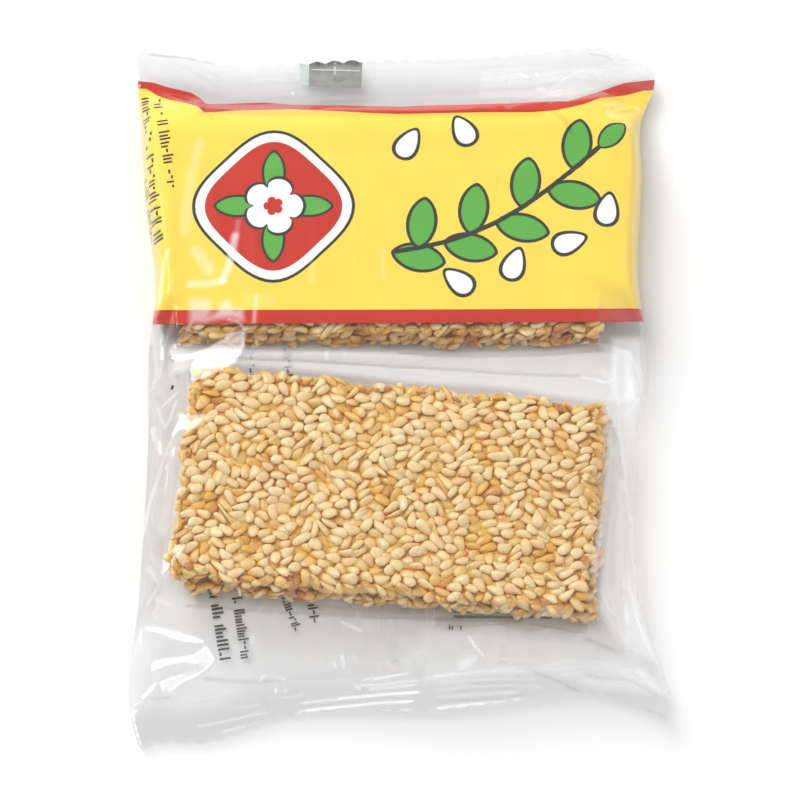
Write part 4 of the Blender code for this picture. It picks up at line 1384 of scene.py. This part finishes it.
def hazy_film(name, colour, roughness, scale, alphas):
    """Film whose bump and cover vary in soft clouds; alphas says how, as mapped takes it."""
    made, tree, shader = new_material(name, colour, roughness)
    cloud, bumps = mottled(tree, Scale=scale, Detail=3.0, Bump=0.3, Distance=0.0002)
    tree.links.new(mapped(tree, cloud, *alphas), shader.inputs["Alpha"])
    tree.links.new(bumps, shader.inputs["Normal"])
    return made


dark_ink = ink_materials[DARK]
grey_ink = cloudy_ink("thin_grey_ink", (0.10, 0.095, 0.08), (0.24, 0.235, 0.21))
# The pale ink prints the light strip beside the dark square and paints a highlight along a seal ridge across
# it.
pale_ink_and_highlight = cloudy_ink("pale_ink_and_highlight", (0.50, 0.58, 0.58), (0.64, 0.70, 0.70))
for name, outlines, depth, columns, ink, slot in (
    ("type_on_back", [o for _, o in dashed(BACK_TYPE, draw)], 0.05, 9, dark_ink, "dark_ink"),
    ("bars_on_back", DARK_BARS, 0.08, 9, dark_ink, "dark_ink"),
    ("eye_mark", [EYE_MARK], 0.06, 61, grey_ink, "dark_ink"),
    ("eye_strip", [EYE_STRIP, *EYE_LINES_AND_RIDGE_HIGHLIGHT], 0.09, 9, pale_ink_and_highlight, "white_ink"),
):
    points, faces = marks_on(film_back, back_normals, outlines, depth, columns)
    make_piece(name, points, faces, ink, slot)

seam = hazy_film("hazy_seam", (0.92, 0.92, 0.92), 0.5, 300.0, (0.0, 1.0, 0.06, 0.16))
rows = (film_v[:, 0] > BOTTOM_SHARE) & (film_v[:, 0] < 1 - TOP_SHARE)
v, x = np.meshgrid(film_v[rows, 0], np.linspace(SEAM_LEFT, SEAM_RIGHT, 17), indexing="ij")
left, right = curve_through(LEFT_EDGE, v), curve_through(RIGHT_EDGE, v)
strip = skin_at(film_back, (x - left) / (right - left), v)
strip[..., 2] -= SEAM_DEPTH
make_piece("back_seam", strip, grid_faces(*v.shape), seam, "film")

# The tan tint of the folded flap is a painted reflection of the bars in the film.
fold_reflection_film = hazy_film("fold_painted_reflection", (0.62, 0.54, 0.42), 0.35, 240.0, (0.3, 0.7, 0.14, 0.34))
outline = np.array(FOLD_OUTLINE)
ring = np.concatenate((outline, outline[:1]))
even = np.linspace(0, len(outline), 97)
rim = np.stack([np.interp(even, np.arange(len(ring)), ring[:, k]) for k in (0, 1)], -1)
spread = np.linspace(0, 1, 9)[:, None, None]
places = rim[None] * spread + rim.mean(0) * (1 - spread)
u, v = on_film(places[..., 0], places[..., 1])
fold = skin_at(film_back, u, v)
fold[..., 2] += FOLD_RISE
make_piece("back_fold", fold, grid_faces(*u.shape), fold_reflection_film, "film")


# The floor, light and camera of a small studio. A low soft lamp stands behind the pack to
# the left and a weaker one hangs above it; the sky's bright disc at the upper left is what
# the film glints with. A long lens looks down at 72 degrees.
def area_light(name, place, size, power):
    """A square soft lamp at place that faces the pack; only its reflection isn't seen."""
    data = bpy.data.lights.new(name, "AREA")
    data.shape, data.size, data.energy = "SQUARE", size, power
    lamp = bpy.data.objects.new(name, data)
    lamp.location = place
    lamp.rotation_euler = (-Vector(place)).to_track_quat("-Z", "Y").to_euler()
    lamp.visible_glossy = False
    bpy.context.scene.collection.objects.link(lamp)


def sky_toward(tree, direction, way):
    """Cosine of the angle between a sky direction and a fixed way."""
    way = tuple(Vector(way).normalized())
    product = node(tree, "ShaderNodeVectorMath", {0: direction, 1: way}, operation="DOT_PRODUCT")
    return product.outputs["Value"]


FLOOR_HALF, FLOOR_GAP = 1500.0, 0.02
DISC_WAY, FILL_WAY = (-0.62, 0.36, 0.95), (0.7, -0.5, 0.35)
paper, tree, shader = new_material("studio_paper", (0.80, 0.80, 0.80), 0.9)
shader.inputs["Specular IOR Level"].default_value = 0.1
floor_points = np.array(((-1, -1), (1, -1), (1, 1), (-1, 1))) * FLOOR_HALF
floor_points = np.column_stack((floor_points, np.full(4, -FLOOR_GAP)))
floor = make_piece("floor", floor_points, np.array(((0, 1, 2, 3),)), paper, "", rides=False)
area_light("low_lamp", (-0.55, 0.85, 0.55), 0.6, 11.0)
area_light("top_lamp", (-0.12, 0.22, 1.2), 0.7, 4.1)
world = bpy.data.worlds.new("studio")
world.use_nodes = True
sky = world.node_tree
direction = node(sky, "ShaderNodeTexCoord").outputs["Generated"]
rise = node(sky, "ShaderNodeSeparateXYZ", {"Vector": direction}).outputs["Z"]
side_sky, top_sky = (0.38, 0.38, 0.38), (0.22, 0.22, 0.22)
tent = ramp(sky, rise, ((0.0, side_sky), (0.78, side_sky), (0.93, top_sky)))
toward = sky_toward(sky, direction, DISC_WAY)
glow = worked(sky, "POWER", mapped(sky, toward, 0.80), 4.0)
disc = mapped(sky, toward, 0.970, 0.992, 0.0, 2.8, interpolation_type="SMOOTHSTEP")
disc = worked(sky, "MULTIPLY_ADD", glow, 1.6, disc)
fill = mapped(sky, sky_toward(sky, direction, FILL_WAY), 0.1, 1.0, 0.0, 0.65)
light = blended(sky, 1.0, tent, worked(sky, "ADD", disc, fill), blend_type="ADD")
sky.links.new(light, sky.nodes["Background"].inputs["Color"])
bpy.context.scene.world = world
bpy.context.scene.view_settings.view_transform = "Standard"

camera_data = bpy.data.cameras.new("camera")
camera_data.sensor_width = 36.0
camera_data.lens = PIXELS_PER_MM * DISTANCE * camera_data.sensor_width / PICTURE
camera_data.clip_start = 0.01
camera = bpy.data.objects.new("camera", camera_data)
camera.location = (LOOK_AT + SIGHT * DISTANCE) * 0.001
camera.rotation_euler = Vector(-SIGHT).to_track_quat("-Z", "Y").to_euler()
bpy.context.scene.collection.objects.link(camera)
bpy.context.scene.camera = camera
